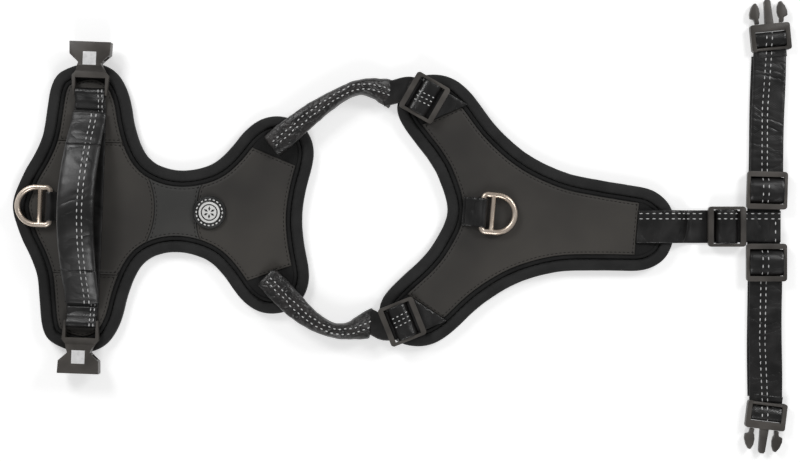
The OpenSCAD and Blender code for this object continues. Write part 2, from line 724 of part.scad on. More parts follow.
// Doubled webbing that comes back from the clip's bar to the slider
module at_clip_bar() translate([0, clip_bar_y, clip_z]) rotate(clip_turn) children();
module clip_webbing() {
    start_y = girth_slider_y + 13;
    difference() {
        union() {
            translate([-web_w / 2, start_y, strap_z])
                cube([web_w, clip_bar_y - clip_outer - 3.8 - start_y, web_t]);
            at_clip_bar() {
                translate([-eye_w / 2, -clip_outer - 6, strap_z - clip_z]) cube([eye_w, clip_outer + 6, web_t]);
                rotate([0, 90, 0]) cylinder(r = eye_r, h = eye_w, center = true);
            }
        }
        at_clip_bar() rotate([0, 90, 0]) cylinder(r = bar_r + bar_clear, h = big, center = true);
    }
}
module upper_clip_webbing() color(strap_cloth) at_girth(1) clip_webbing();
module lower_clip_webbing() color(strap_cloth) at_girth(-1) clip_webbing();

arm_x = 9;
arm_gap = 0.5;
// The frame has two bars: the webbing passes under the outer one and folds round the inner one
module clip_body() at_clip_bar() {
    window_front = eye_r + 0.5;
    rail = (clip_w - eye_w - 1) / 2;
    rotate([0, 90, 0]) cylinder(r = bar_r, h = clip_w - rail, center = true);
    outer_r = (clip_t / 2 + clip_z - strap_top - layer_gap) / 2;
    translate([0, -clip_outer, clip_t / 2 - outer_r]) rotate([0, 90, 0])
        cylinder(r = outer_r, h = clip_w - rail, center = true);
    translate([0, 0, -clip_t / 2]) {
        difference() {
            translate([0, (clip_l - clip_outer - 1.5) / 2, 0]) rotate(90)
                rounded_block(clip_l + clip_outer + 1.5, clip_w, clip_t, 2);
            translate([-eye_w / 2 - 0.5, -clip_outer - 4, -cut])
                cube([eye_w + 1, clip_outer + 4 + window_front, clip_t + 2 * cut]);
        }
        // guide pin between the latch arms
        linear_extrude(clip_t - 1) polygon([[-3.2, clip_l - 1], [3.2, clip_l - 1], [2.3, clip_l + arm_l - 0.5],
            [1.3, clip_l + arm_l + 1], [-1.3, clip_l + arm_l + 1], [-2.3, clip_l + arm_l - 0.5]]);
    }
}
module upper_clip() color(moulding) at_girth(1) clip_body();
module lower_clip() color(moulding) at_girth(-1) clip_body();

// A latch arm: a thin stem with a barbed head
module latch(side) at_clip_bar() translate([side * arm_x, clip_l + arm_gap, 0.3 - clip_t / 2])
    mirror([side > 0 ? 0 : 1, 0, 0]) linear_extrude(clip_t - 0.6)
        polygon([[-1.4, 0], [1.8, 0], [2.2, 3.6], [5.2, 4.6], [5.3, 8], [3.8, 12.5], [1.4, arm_l - 1.6],
            [-0.3, arm_l - 1.8], [-1.9, 12], [-2.3, 8], [-1.7, 4.6], [-0.9, 3.6]]);
module upper_left_latch() color(moulding) at_girth(1) latch(-1);
module upper_right_latch() color(moulding) at_girth(1) latch(1);
module lower_left_latch() color(moulding) at_girth(-1) latch(-1);
module lower_right_latch() color(moulding) at_girth(-1) latch(1);

back_lining();
back_foam();
back_binding();
yoke_cover();
upper_wing_cover();
lower_wing_cover();
saddle_cover();
front_cover();
badge();
rear_ring_tab();
rear_lead_ring();
buckle_strap();
handle_grip();
upper_handle_end();
lower_handle_end();
upper_socket();
lower_socket();
upper_reflector();
lower_reflector();
upper_neck_sleeve();
lower_neck_sleeve();
upper_neck_webbing();
lower_neck_webbing();
upper_neck_slider();
lower_neck_slider();
upper_neck_fold();
lower_neck_fold();
chest_lining();
chest_foam();
chest_binding();
chest_cover();
front_ring_tab();
front_lead_ring();
belly_webbing();
belly_slider();
belly_fold();
belly_end_webbing();
girth_middle();
upper_girth_webbing();
lower_girth_webbing();
upper_girth_slider();
lower_girth_slider();
upper_girth_fold();
lower_girth_fold();
upper_clip_webbing();
lower_clip_webbing();
upper_clip();
lower_clip();
upper_left_latch();
upper_right_latch();
lower_left_latch();
lower_right_latch();
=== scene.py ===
import bmesh, bpy, math
import numpy as np
from mathutils import Matrix, Vector, noise
from mathutils.bvhtree import BVHTree
from mathutils.geometry import delaunay_2d_cdt


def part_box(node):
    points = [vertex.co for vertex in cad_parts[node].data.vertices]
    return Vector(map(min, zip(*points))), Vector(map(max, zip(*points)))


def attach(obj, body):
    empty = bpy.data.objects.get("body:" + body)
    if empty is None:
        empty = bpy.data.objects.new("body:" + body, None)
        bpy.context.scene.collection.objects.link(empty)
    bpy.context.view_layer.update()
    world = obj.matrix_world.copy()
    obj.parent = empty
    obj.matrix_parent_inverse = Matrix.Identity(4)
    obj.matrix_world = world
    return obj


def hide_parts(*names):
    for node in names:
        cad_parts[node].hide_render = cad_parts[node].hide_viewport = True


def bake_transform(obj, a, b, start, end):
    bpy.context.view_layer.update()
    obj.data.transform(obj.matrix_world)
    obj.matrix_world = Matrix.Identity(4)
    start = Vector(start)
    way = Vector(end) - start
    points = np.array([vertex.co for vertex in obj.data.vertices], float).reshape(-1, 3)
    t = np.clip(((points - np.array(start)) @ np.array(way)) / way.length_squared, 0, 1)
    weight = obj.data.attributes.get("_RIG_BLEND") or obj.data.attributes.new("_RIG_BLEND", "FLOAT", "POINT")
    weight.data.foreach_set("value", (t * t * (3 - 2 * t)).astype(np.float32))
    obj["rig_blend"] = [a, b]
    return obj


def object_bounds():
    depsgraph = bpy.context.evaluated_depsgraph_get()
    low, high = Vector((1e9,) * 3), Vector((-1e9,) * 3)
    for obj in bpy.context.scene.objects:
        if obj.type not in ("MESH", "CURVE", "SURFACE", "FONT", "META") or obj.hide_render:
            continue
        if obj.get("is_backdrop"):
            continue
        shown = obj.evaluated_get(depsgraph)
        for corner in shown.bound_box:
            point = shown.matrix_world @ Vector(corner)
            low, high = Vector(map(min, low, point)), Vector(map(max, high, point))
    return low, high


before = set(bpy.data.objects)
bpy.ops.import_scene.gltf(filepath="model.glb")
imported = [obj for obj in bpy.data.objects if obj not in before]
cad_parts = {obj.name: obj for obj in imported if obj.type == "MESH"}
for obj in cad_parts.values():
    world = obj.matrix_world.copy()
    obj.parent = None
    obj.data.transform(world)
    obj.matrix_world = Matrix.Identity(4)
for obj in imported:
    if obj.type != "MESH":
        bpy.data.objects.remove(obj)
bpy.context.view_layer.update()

# ---- Back panel: foam pad and mesh lining ----
# A 4 mm foam core faced with black knit, laid on an open spacer mesh that touches the dog.
# Both are cut a binding's width smaller than the panel, and the knit shows as a narrow band round the covers.
MM = 0.001


def shade(red, green=None, blue=None):
    """A colour as the eye gives it, 10 to 255, on the renderer's own scale; one number alone is a grey."""
    channels = (red, red, red) if green is None else (red, green, blue)
    return tuple(((c / 255 + 0.055) / 1.055) ** 2.4 for c in channels) + (1,)


def with_inputs(node, **values):
    """Sets a node's inputs by name and hands the node back."""
    for title, value in values.items():
        node.inputs[title.replace("_", " ")].default_value = value
    return node


def node_group(name, inputs, outputs):
    """An empty shader node group with named sockets."""
    group = bpy.data.node_groups.new(name, "ShaderNodeTree")
    for way, sockets in (("INPUT", inputs), ("OUTPUT", outputs)):
        for title, kind, *value in sockets:
            socket = group.interface.new_socket(title, in_out=way, socket_type="NodeSocket" + kind)
            if value:
                socket.default_value = value[0]
    return group, group.nodes.new("NodeGroupInput"), group.nodes.new("NodeGroupOutput")


def math_node(tree, operation, *values):
    """A math node fed by sockets or plain numbers."""
    node = tree.nodes.new("ShaderNodeMath")
    node.operation = operation
    for i, value in enumerate(values):
        if isinstance(value, (int, float)):
            node.inputs[i].default_value = value
        else:
            tree.links.new(value, node.inputs[i])
    return node.outputs[0]


def build_thread_pattern():
    """Over and under threads: bumps in rows, every second row set over by half, and the painted shade that darkens
    the hollows between them.
    """
    group, given, made = node_group("Thread pattern",
        [("Vector", "Vector"), ("Threads", "Float", 900.0), ("Across", "Float", 900.0)],
        [("Height", "Float"), ("Hollow", "Float")])
    link = group.links.new
    parts = group.nodes.new("ShaderNodeSeparateXYZ")
    link(given.outputs["Vector"], parts.inputs[0])
    along = math_node(group, "MULTIPLY", parts.outputs[0], given.outputs["Threads"])
    across = math_node(group, "MULTIPLY", parts.outputs[1], given.outputs["Across"])
    wave = math_node(group, "SINE", math_node(group, "MULTIPLY", along, 6.2832))
    row = math_node(group, "SINE", math_node(group, "MULTIPLY", across, 6.2832))
    height = math_node(group, "MULTIPLY_ADD", math_node(group, "MULTIPLY", wave, row), 0.5, 0.5)
    link(height, made.inputs["Height"])
    # The second output is painted shade, strongest in the hollows between the threads.
    link(math_node(group, "SUBTRACT", 1.0, height), made.inputs["Hollow"])
    return group


def build_worn_colour_and_shade():
    """A dyed colour that wanders between two shades in soft patches, with a fine speckle, darkened by painted shade
    in the thread hollows that its last input marks.
    """
    group, given, made = node_group("Worn colour and painted shade",
        [("Vector", "Vector"), ("Deep", "Color"), ("Light", "Color"), ("Patches", "Float", 20.0),
         ("Speckle", "Float", 0.2), ("Hollow", "Float", 0.0)],
        [("Colour", "Color"), ("Patch", "Float")])
    link = group.links.new
    broad = with_inputs(group.nodes.new("ShaderNodeTexNoise"), Detail=3)
    fine = with_inputs(group.nodes.new("ShaderNodeTexNoise"), Scale=2600)
    ramp = with_inputs(group.nodes.new("ShaderNodeMapRange"), From_Min=0.34, From_Max=0.66)
    link(given.outputs["Vector"], broad.inputs["Vector"])
    link(given.outputs["Vector"], fine.inputs["Vector"])
    link(given.outputs["Patches"], broad.inputs["Scale"])
    link(broad.outputs[0], ramp.inputs["Value"])
    speck = math_node(group, "SUBTRACT", fine.outputs[0], 0.5)
    speck = math_node(group, "MULTIPLY", speck, given.outputs["Speckle"])
    patch = math_node(group, "ADD", ramp.outputs[0], speck)
    mix = group.nodes.new("ShaderNodeMix")
    mix.data_type = "RGBA"
    # Painted shade: the last input pulls the colour towards the deep shade in the thread hollows.
    link(math_node(group, "SUBTRACT", patch, given.outputs["Hollow"]), mix.inputs[0])
    link(given.outputs["Deep"], mix.inputs[6])
    link(given.outputs["Light"], mix.inputs[7])
    link(mix.outputs[2], made.inputs["Colour"])
    link(ramp.outputs[0], made.inputs["Patch"])
    return group


def build_soft_creases():
    """Creases that run mostly one way, with a broad swell under them."""
    group, given, made = node_group("Soft creases",
        [("Vector", "Vector"), ("Creases", "Float", 120.0), ("Slant", "Vector", (1.0, 0.35, 1.0))],
        [("Height", "Float"), ("Gloss", "Float")])
    link = group.links.new
    pulled = group.nodes.new("ShaderNodeVectorMath")
    pulled.operation = "MULTIPLY"
    link(given.outputs["Vector"], pulled.inputs[0])
    link(given.outputs["Slant"], pulled.inputs[1])
    fold = with_inputs(group.nodes.new("ShaderNodeTexNoise"), Detail=2, Distortion=0.6)
    link(pulled.outputs[0], fold.inputs["Vector"])
    link(given.outputs["Creases"], fold.inputs["Scale"])
    crease = math_node(group, "ABSOLUTE", math_node(group, "SUBTRACT", fold.outputs[0], 0.5))
    link(math_node(group, "POWER", crease, 0.7), made.inputs["Height"])
    link(math_node(group, "MULTIPLY_ADD", fold.outputs[0], 0.3, 0.28), made.inputs["Gloss"])
    return group


thread_pattern, worn_colour_and_shade, soft_creases = build_thread_pattern(), build_worn_colour_and_shade(), build_soft_creases()


def placed(tree, group, place, **values):
    """A shared effect in a material, laid out by its texture place, with its values set."""
    node = tree.nodes.new("ShaderNodeGroup")
    node.node_tree = group
    tree.links.new(place, node.inputs["Vector"])
    return with_inputs(node, **values)


def bumped(tree, height, depth, reach, under=None):
    """The bump that a height gives a surface, on top of another bump where there is one."""
    bump = with_inputs(tree.nodes.new("ShaderNodeBump"), Strength=depth, Distance=reach)
    tree.links.new(height, bump.inputs["Height"])
    if under:
        tree.links.new(under, bump.inputs["Normal"])
    return bump.outputs[0]


def dyed_material(name, deep, light, patches, speckle, laid_by="Object"):
    """A material in the worn colour, with its tree, surface shader, texture place and the colour node that also
    takes painted shade for thread hollows.
    """
    material = bpy.data.materials.new(name)
    material.use_nodes = True
    tree = material.node_tree
    shader = tree.nodes["Principled BSDF"]
    place = tree.nodes.new("ShaderNodeTexCoord").outputs[laid_by]
    dye_and_shade = placed(tree, worn_colour_and_shade, place, Deep=deep, Light=light, Patches=patches, Speckle=speckle)
    tree.links.new(dye_and_shade.outputs["Colour"], shader.inputs["Base Color"])
    return material, tree, shader, place, dye_and_shade


def cloth_material(name, deep, light, patches=20, speckle=0.2, threads=900, across=900, thread_depth=0.5,
                   creases=0, crease_depth=0.5, slant=(1, 0.35, 1), roughness=0.6, sheen=0.0, painted_hollow_shade=0.0,
                   gloss=0.35, laid_by="Object"):
    """A woven or knitted cloth: thread bumps, creases and wandering colour on a plain surface shader, with shade
    painted into the colour in the hollows between threads.
    """
    material, tree, shader, place, dye_and_shade = dyed_material(name, deep, light, patches, speckle, laid_by)
    with_inputs(shader, Specular_IOR_Level=gloss, Sheen_Weight=sheen, Sheen_Roughness=0.4)
    weave = placed(tree, thread_pattern, place, Threads=threads, Across=across)
    # Painted shade: the colour is darkened in the hollows between the threads, by the amount this cloth is given.
    tree.links.new(math_node(tree, "MULTIPLY", weave.outputs["Hollow"], painted_hollow_shade), dye_and_shade.inputs["Hollow"])
    rough = math_node(tree, "MULTIPLY_ADD", dye_and_shade.outputs["Patch"], 0.1, roughness - 0.05)
    folds = None
    if creases:
        fold = placed(tree, soft_creases, place, Creases=creases, Slant=slant)
        folds = bumped(tree, fold.outputs["Height"], crease_depth, 0.0012)
        dull = math_node(tree, "MULTIPLY_ADD", fold.outputs["Gloss"], 0.5, -0.2)
        rough = math_node(tree, "ADD", rough, dull)
    threads = bumped(tree, weave.outputs["Height"], thread_depth, 0.0002, folds)
    tree.links.new(rough, shader.inputs["Roughness"])
    tree.links.new(threads, shader.inputs["Normal"])
    return material


def outline_of(node):
    """The outline of a CAD node's flat underside in mm, anticlockwise."""
    mesh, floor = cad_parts[node].data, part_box(node)[0].z
    points = [tuple(round(c, 6) for c in v.co) for v in mesh.vertices]
    seen = {}
    for face in mesh.polygons:
        ring = [points[i] for i in face.vertices]
        if max(p[2] for p in ring) < floor + 2e-5:
            for a, b in zip(ring, ring[1:] + ring[:1]):
                seen[frozenset((a[:2], b[:2]))] = seen.get(frozenset((a[:2], b[:2])), 0) + 1
    beside = {}
    for edge, times in seen.items():
        if times == 1 and len(edge) == 2:
            a, b = edge
            beside.setdefault(a, []).append(b)
            beside.setdefault(b, []).append(a)
    start = min(beside)
    loop, last = [start], None
    while True:
        onward = [p for p in beside[loop[-1]] if p != last][0]
        if onward == start:
            break
        last = loop[-1]
        loop.append(onward)
    loop = np.array(loop) / MM
    x, y = loop.T
    return loop if np.sum(x * np.roll(y, -1) - np.roll(x, -1) * y) > 0 else loop[::-1]


def spaced(line, step):
    """Points at even steps along an open line."""
    line = np.array(line, float)
    reach = np.concatenate([[0], np.cumsum(np.linalg.norm(np.diff(line, axis=0), axis=1))])
    wanted = np.linspace(0, reach[-1], max(2, int(round(reach[-1] / step)) + 1))
    return np.stack([np.interp(wanted, reach, line[:, k]) for k in range(line.shape[1])], 1)


def eased(line, times=2):
    """An open line with its facets rounded off and its ends kept."""
    for _ in range(times):
        cut = np.stack([line[:-1] * 0.75 + line[1:] * 0.25, line[:-1] * 0.25 + line[1:] * 0.75], 1)
        line = np.concatenate([line[:1], cut.reshape(-1, line.shape[1]), line[-1:]])
    return line


def smooth_loop(loop, step):
    """A closed outline at even steps, rounded along its curves, with its sewn corners kept."""
    sewn_corner = 38
    before, after = loop - np.roll(loop, 1, 0), np.roll(loop, -1, 0) - loop
    cross = before[:, 0] * after[:, 1] - before[:, 1] * after[:, 0]
    turn = np.degrees(np.arctan2(cross, (before * after).sum(1)))
    corners = [i for i, t in enumerate(turn) if abs(t) > sewn_corner]
    if not corners:
        for _ in range(2):
            onward = np.roll(loop, -1, 0)
            loop = np.stack([loop * 0.75 + onward * 0.25, loop * 0.25 + onward * 0.75], 1).reshape(-1, 2)
        return spaced(np.concatenate([loop, loop[:1]]), step)[:-1]
    out = []
    for a, b in zip(corners, corners[1:] + [corners[0] + len(loop)]):
        run = np.array([loop[i % len(loop)] for i in range(a, b + 1)])
        out.append(spaced(eased(run), step)[:-1])
    return np.concatenate(out)


def inward(loop):
    """The unit directions that point into an anticlockwise outline."""
    along = np.roll(loop, -1, 0) - np.roll(loop, 1, 0)
    along /= np.linalg.norm(along, axis=1)[:, None]
    return np.stack([-along[:, 1], along[:, 0]], 1)


def rim_distance(points, loop):
    """How far each point is from an outline."""
    a, b = loop, np.roll(loop, -1, 0)
    best = np.full(len(points), 1e9)
    for start in range(0, len(loop), 64):
        p, d = a[start:start + 64], (b - a)[start:start + 64]
        off = points[:, None] - p[None]
        t = np.clip((off * d).sum(2) / (d * d).sum(1), 0, 1)
        best = np.minimum(best, np.linalg.norm(off - t[..., None] * d, axis=2).min(1))
    return best


def within(points, loop):
    """Which points lie inside an outline."""
    a, b = loop, np.roll(loop, -1, 0)
    x, y = points[:, :1], points[:, 1:]
    crosses = (a[:, 1] > y) != (b[:, 1] > y)
    at = (b[:, 0] - a[:, 0]) * (y - a[:, 1]) / (b[:, 1] - a[:, 1] + 1e-12) + a[:, 0]
    return (crosses & (x < at)).sum(1) % 2 == 1


def put_out(name, mesh, material=None, body=None, smooth=True):
    """Puts a mesh in the scene as a piece, with its material, its shading and the body that it rides."""
    piece = bpy.data.objects.new(name, mesh)
    bpy.context.scene.collection.objects.link(piece)
    if material:
        mesh.materials.append(material)
    if smooth:
        mesh.polygons.foreach_set("use_smooth", [True] * len(mesh.polygons))
    if body:
        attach(piece, body)
    return piece


def face_outwards(mesh, join=0.0):
    """Joins points of a mesh that are closer than a distance and turns its faces outwards."""
    work = bmesh.new()
    work.from_mesh(mesh)
    if join:
        bmesh.ops.remove_doubles(work, verts=work.verts, dist=join)
    bmesh.ops.recalc_face_normals(work, faces=work.faces)
    work.to_mesh(mesh)
    work.free()


def new_piece(name, points, faces, material, body=None, smooth=True):
    """A mesh piece from points in mm, with its faces turned outwards."""
    mesh = bpy.data.meshes.new(name)
    mesh.from_pydata([tuple(c * MM for c in p) for p in points], [], faces)
    face_outwards(mesh, join=1e-6)
    return put_out(name, mesh, material, body, smooth)


def ripple(x, y, size, seed=0.0):
    """A soft wander between -1 and 1 over a length in mm."""
    return noise.noise(Vector((x / size, y / size, seed)))


def stuffed_piece(name, loop, bottom, top, material, body, drop=1.0, shoulder=6.0, grain=4.0, relief=None):
    """A stuffed flat piece: a skin that crowns from its outline, a rim wall and a flat underside."""
    rings = [loop]
    for part in (0.07, 0.2, 0.38, 0.6, 0.85):
        ring = loop + inward(loop) * part * shoulder
        keep = within(ring, loop) & (rim_distance(ring, loop) > part * shoulder * 0.93)
        rings.append(ring[keep])
    low, high = loop.min(0), loop.max(0)
    grid = np.stack(np.meshgrid(np.arange(low[0], high[0], grain), np.arange(low[1], high[1], grain)), -1)
    grid[1::2, :, 0] += grain / 2
    grid = grid.reshape(-1, 2)
    grid = grid[within(grid, loop)]
    rings.append(grid[rim_distance(grid, loop) > shoulder * 0.85 + grain * 0.45])
    flat = np.concatenate(rings)
    found = delaunay_2d_cdt([Vector(p) for p in flat], [], [list(range(len(loop)))], 1, 1e-4)
    spots, faces = np.array([tuple(p) for p in found[0]]), [tuple(f) for f in found[2]]
    far = rim_distance(spots, loop)
    share = np.clip(far / shoulder, 0, 1)
    height = top - drop * (1 - np.sqrt(1 - (1 - share) ** 2))
    if relief:
        height = height + np.array([relief(x, y, d) for (x, y), d in zip(spots, far)])
    upper = [(x, y, z) for (x, y), z in zip(spots, height)]
    lower = [(x, y, bottom) for x, y in spots]
    m = len(spots)
    edges = dict.fromkeys((a, b) for f in faces for a, b in zip(f, f[1:] + f[:1]))
    walls = [(b, a, a + m, b + m) for a, b in edges if (b, a) not in edges]
    underside = [tuple(i + m for i in reversed(f)) for f in faces]
    return new_piece(name, upper + lower, faces + underside + walls, material, body)


# Each cloth's hollow setting here and below paints shade into the hollows between its threads; the open spacer mesh
# gets the most.
knit_facing = cloth_material("Black knit facing", shade(14), shade(30), patches=60, threads=1100,
                             across=1300, creases=90, crease_depth=0.25, roughness=0.8, painted_hollow_shade=0.3)
spacer_mesh = cloth_material("Open spacer mesh", shade(12), shade(42), patches=40, threads=330,
                             across=330, thread_depth=1.0, roughness=0.85, painted_hollow_shade=0.9)
def soft_swell(x, y, d):
    return 0.25 * ripple(x, y, 26, 3.0) * min(d / 6, 1)


for panel in ("back", "chest"):
    loop = smooth_loop(outline_of(panel + "_lining"), 2.0)
    low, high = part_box(panel + "_foam")
    bottom, top = low.z / MM, high.z / MM
    pad = stuffed_piece(panel + "_foam_pad", loop, bottom, top, knit_facing, panel, drop=1.2, shoulder=7,
                        relief=soft_swell)
    lining = stuffed_piece(panel + "_mesh_lining", loop, 0, bottom, spacer_mesh, panel, drop=0.3, shoulder=3)
    for piece, node in ((pad, "_foam"), (lining, "_lining")):
        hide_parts(panel + node)

# ---- Back and chest panels: rolled edge bindings ----
# A strip of fine black knit is wrapped over the raw edge of foam and lining and sewn down in a deep gutter.
# It puffs between its stitches, and a narrow padded band of the facing shows inside the gutter.
def build_stitch_row():
    """A row of sewn stitches along any seam line: one bead of thread at each step, turned to the seam."""
    tree = bpy.data.node_groups.new("Stitch row", "GeometryNodeTree")
    tree.interface.new_socket("Seam line", in_out="INPUT", socket_type="NodeSocketGeometry")
    for title, value in (("Stitch length", 0.003), ("Thread width", 0.0009), ("Thread height", 0.0006),
                         ("Step", 0.005)):
        tree.interface.new_socket(title, in_out="INPUT", socket_type="NodeSocketFloat").default_value = value
    tree.interface.new_socket("Thread", in_out="INPUT", socket_type="NodeSocketMaterial")
    tree.interface.new_socket("Stitches", in_out="OUTPUT", socket_type="NodeSocketGeometry")
    given, made, curve, steps, bead, size, turn, place, real, finish = (tree.nodes.new(kind) for kind in (
        "NodeGroupInput", "NodeGroupOutput", "GeometryNodeMeshToCurve", "GeometryNodeCurveToPoints",
        "GeometryNodeMeshUVSphere", "ShaderNodeCombineXYZ", "FunctionNodeAlignRotationToVector",
        "GeometryNodeInstanceOnPoints", "GeometryNodeRealizeInstances", "GeometryNodeSetMaterial"))
    steps.mode = "LENGTH"
    turn.axis = "X"
    with_inputs(bead, Segments=7, Rings=5, Radius=0.5)
    for source, out, target, into in (
            (given, "Seam line", curve, "Mesh"), (curve, "Curve", steps, "Curve"),
            (given, "Step", steps, "Length"), (steps, "Tangent", turn, "Vector"),
            (given, "Stitch length", size, "X"), (given, "Thread width", size, "Y"),
            (given, "Thread height", size, "Z"),
            (steps, "Points", place, "Points"), (bead, "Mesh", place, "Instance"),
            (turn, "Rotation", place, "Rotation"), (size, "Vector", place, "Scale"),
            (place, "Instances", real, "Geometry"), (real, "Geometry", finish, "Geometry"),
            (given, "Thread", finish, "Material"), (finish, "Geometry", made, "Stitches")):
        tree.links.new(source.outputs[out], target.inputs[into])
    return tree


stitch_row = build_stitch_row()


def apply_modifiers(piece):
    """Makes what a piece's modifiers turn it into its own mesh."""
    mesh = bpy.data.meshes.new_from_object(piece.evaluated_get(bpy.context.evaluated_depsgraph_get()))
    piece.modifiers.clear()
    piece.data = mesh
    return mesh


def stitches(name, seams, thread, body, length, width, height, step):
    """Stitches of a size in mm along seam lines in mm, as one plain mesh on one body."""
    points, edges = [], []
    for seam in seams:
        first = len(points)
        points += [Vector(tuple(p)) * MM for p in seam]
        edges += [(i, i + 1) for i in range(first, len(points) - 1)]
    line = bpy.data.meshes.new(name + "_line")
    line.from_pydata(points, edges, [])
    sewn = put_out(name + "_line", line, smooth=False)
    row = sewn.modifiers.new("Stitch row", "NODES")
    row.node_group = stitch_row
    values = {"Stitch length": length * MM, "Thread width": width * MM, "Thread height": height * MM,
              "Step": step * MM, "Thread": thread}
    for item in stitch_row.interface.items_tree:
        if item.name in values:
            row[item.identifier] = values[item.name]
    mesh = apply_modifiers(sewn)
    bpy.data.objects.remove(sewn)
    mesh.name = name
    return put_out(name, mesh, body=body)


def tube_faces(rings, around, closed=False):
    """The faces between the rings of a tube that has so many points around each ring."""
    return [(i * around + j, i * around + (j + 1) % around,
             (i + 1) % rings * around + (j + 1) % around, (i + 1) % rings * around + j)
            for i in range(rings if closed else rings - 1) for j in range(around)]


def rolled_edge(name, loop, out, width, low, high, material, body, puff=0.18, pitch=4.4, square=0.62):
    """A soft roll along an outline, its middle `out` mm outside it, puffed between the gutter's stitches."""
    points, around = [], 22
    for i, (p, away) in enumerate(zip(loop, -inward(loop))):
        run = i * np.linalg.norm(loop[1] - loop[0])
        for j in range(around):
            a = 2 * math.pi * j / around
            c, s = (math.copysign(abs(f(a)) ** square, f(a)) for f in (math.cos, math.sin))
            inner = max(0.0, -c)
            swell = puff * math.cos(2 * math.pi * run / pitch) * inner
            swell += 0.22 * ripple(p[0], p[1], 9, j * 0.12)
            across, up = c * (width / 2 + swell * 0.6), (low + high) / 2 + s * ((high - low) / 2 + swell)
            spot = p + away * (out + across)
            points.append((spot[0], spot[1], min(max(up, low), high + 0.3)))
    return new_piece(name, points, tube_faces(len(loop), around, closed=True), material, body)


binding_knit = cloth_material("Binding knit", shade(26), shade(44), patches=45, threads=1500,
                              thread_depth=0.45, creases=60, crease_depth=0.3, roughness=0.72, sheen=0.05,
                              painted_hollow_shade=0.25)
gutter_thread = cloth_material("Black thread", shade(10), shade(26), threads=2500, roughness=0.8, gloss=0.15)
gutter_stitch = dict(length=2.6, width=0.7, height=0.6, step=3.4)
gutter_height = 5.0
roll_out, roll_width, band_out, band_width = 3.95, 8.5, -2.2, 3.6
binding_low, binding_high = (c.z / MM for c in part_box("back_binding"))
for panel in ("back", "chest"):
    loop = smooth_loop(outline_of(panel + "_lining"), 1.1)
    roll = rolled_edge(panel + "_rolled_edge", loop, roll_out, roll_width, binding_low + 0.05, binding_high,
                       binding_knit, panel)
    band = rolled_edge(panel + "_facing_band", loop, band_out, band_width, 1.0, 6.1, knit_facing, panel,
                       puff=0.12, square=0.8)
    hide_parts(panel + "_binding")
    ring = loop - inward(loop) * 0.15
    seam = [(x, y, gutter_height) for x, y in np.concatenate([ring, ring[:1]])]
    sewn = stitches(panel + "_gutter_stitches", [seam], gutter_thread, panel, **gutter_stitch)

# ---- Back and chest panels: smooth covers ----
# Charcoal stretch cloth with a smooth face is cut to the panels, laid over the foam and sewn down near its
# edge. The back cover is five pieces joined along the wings, the yoke and a notch beside the badge.
smooth_cloth = cloth_material("Smooth charcoal cloth", shade(53, 51, 49), shade(72, 69, 65), patches=11,
                              speckle=0.12, threads=1800, across=1800, thread_depth=0.12, creases=22,
                              crease_depth=0.12, roughness=0.58, sheen=0.12, painted_hollow_shade=0.06)
saddle_cloth = cloth_material("Embossed charcoal cloth", shade(56, 56, 55), shade(70, 69, 67), patches=16,
                              speckle=0.15, threads=1500, across=1500, thread_depth=0.2, creases=26,
                              crease_depth=0.12, roughness=0.6, sheen=0.1, painted_hollow_shade=0.08)
topstitch = dict(length=2.2, width=0.5, height=0.35, step=3.2)
seam_inset, stitch_sink = 1.7, 0.36


def sewn_cover(x, y, d):
    """A groove where the topstitching pulls the cover down, and a slow wander of the stuffed face."""
    return -0.32 * math.exp(-((d - seam_inset) / 0.55) ** 2) + 0.18 * ripple(x, y, 30, 1.0) * min(d / 8, 1)


def embossed_cover(x, y, d):
    """The saddle also carries two plain pressed lines that follow its edge."""
    lines = sum(math.exp(-((d - at) / 0.5) ** 2) for at in (8.5, 10.7))
    return sewn_cover(x, y, d) - 0.2 * lines


cover_low, cover_high = (c.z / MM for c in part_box("yoke_cover"))
for part in ("yoke", "upper_wing", "lower_wing", "saddle", "front", "chest"):
    node, body = part + "_cover", "chest" if part == "chest" else "back"
    cloth, relief = (saddle_cloth, embossed_cover) if part == "saddle" else (smooth_cloth, sewn_cover)
    loop = smooth_loop(outline_of(node), 1.6)
    cover = stuffed_piece(node + "_skin", loop, cover_low, cover_high + 0.1, cloth, body, drop=1.0,
                          shoulder=4.5, grain=3.0, relief=relief)
    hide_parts(node)
    ring = loop + inward(loop) * seam_inset
    runs = [[]]
    for (x, y), clear in zip(ring, rim_distance(ring, loop) > seam_inset - 0.1):
        if clear:
            runs[-1].append((x, y, cover_high - stitch_sink))
        elif runs[-1]:
            runs.append([])
    runs = [run for run in runs if len(run) > 3]
    stitches(node + "_topstitch", runs, gutter_thread, body, **topstitch)

# ---- Badge ----
# A round black rubber badge is welded on the back panel's waist: a raised rim, a ring of plain printed
# dashes, and a printed white disc that carries a ring and six lozenges.
def moved(x, y, z, turn=0):
    """A place in mm, turned about its upright axis by so many degrees."""
    return Matrix.Translation((x, y, z)) @ Matrix.Rotation(math.radians(turn), 4, "Z")


back_frame, chest_frame = moved(0, 0, 0, -2.2), moved(201, -0.7, 0, -5)


def moulding_material(name, deep, light, grain=900, depth=0.25, roughness=0.45, patches=40, metallic=0.0):
    """A moulded or cast surface: wandering colour, a fine grain and slightly uneven gloss."""
    material, tree, shader, place, dye_and_shade = dyed_material(name, deep, light, patches, 0.35)
    rough = math_node(tree, "MULTIPLY_ADD", dye_and_shade.outputs["Patch"], 0.14, roughness - 0.07)
    tree.links.new(rough, shader.inputs["Roughness"])
    with_inputs(shader, Metallic=metallic)
    pits = with_inputs(tree.nodes.new("ShaderNodeTexNoise"), Scale=grain, Detail=3)
    tree.links.new(place, pits.inputs["Vector"])
    tree.links.new(bumped(tree, pits.outputs[0], depth, 0.0003), shader.inputs["Normal"])
    return material


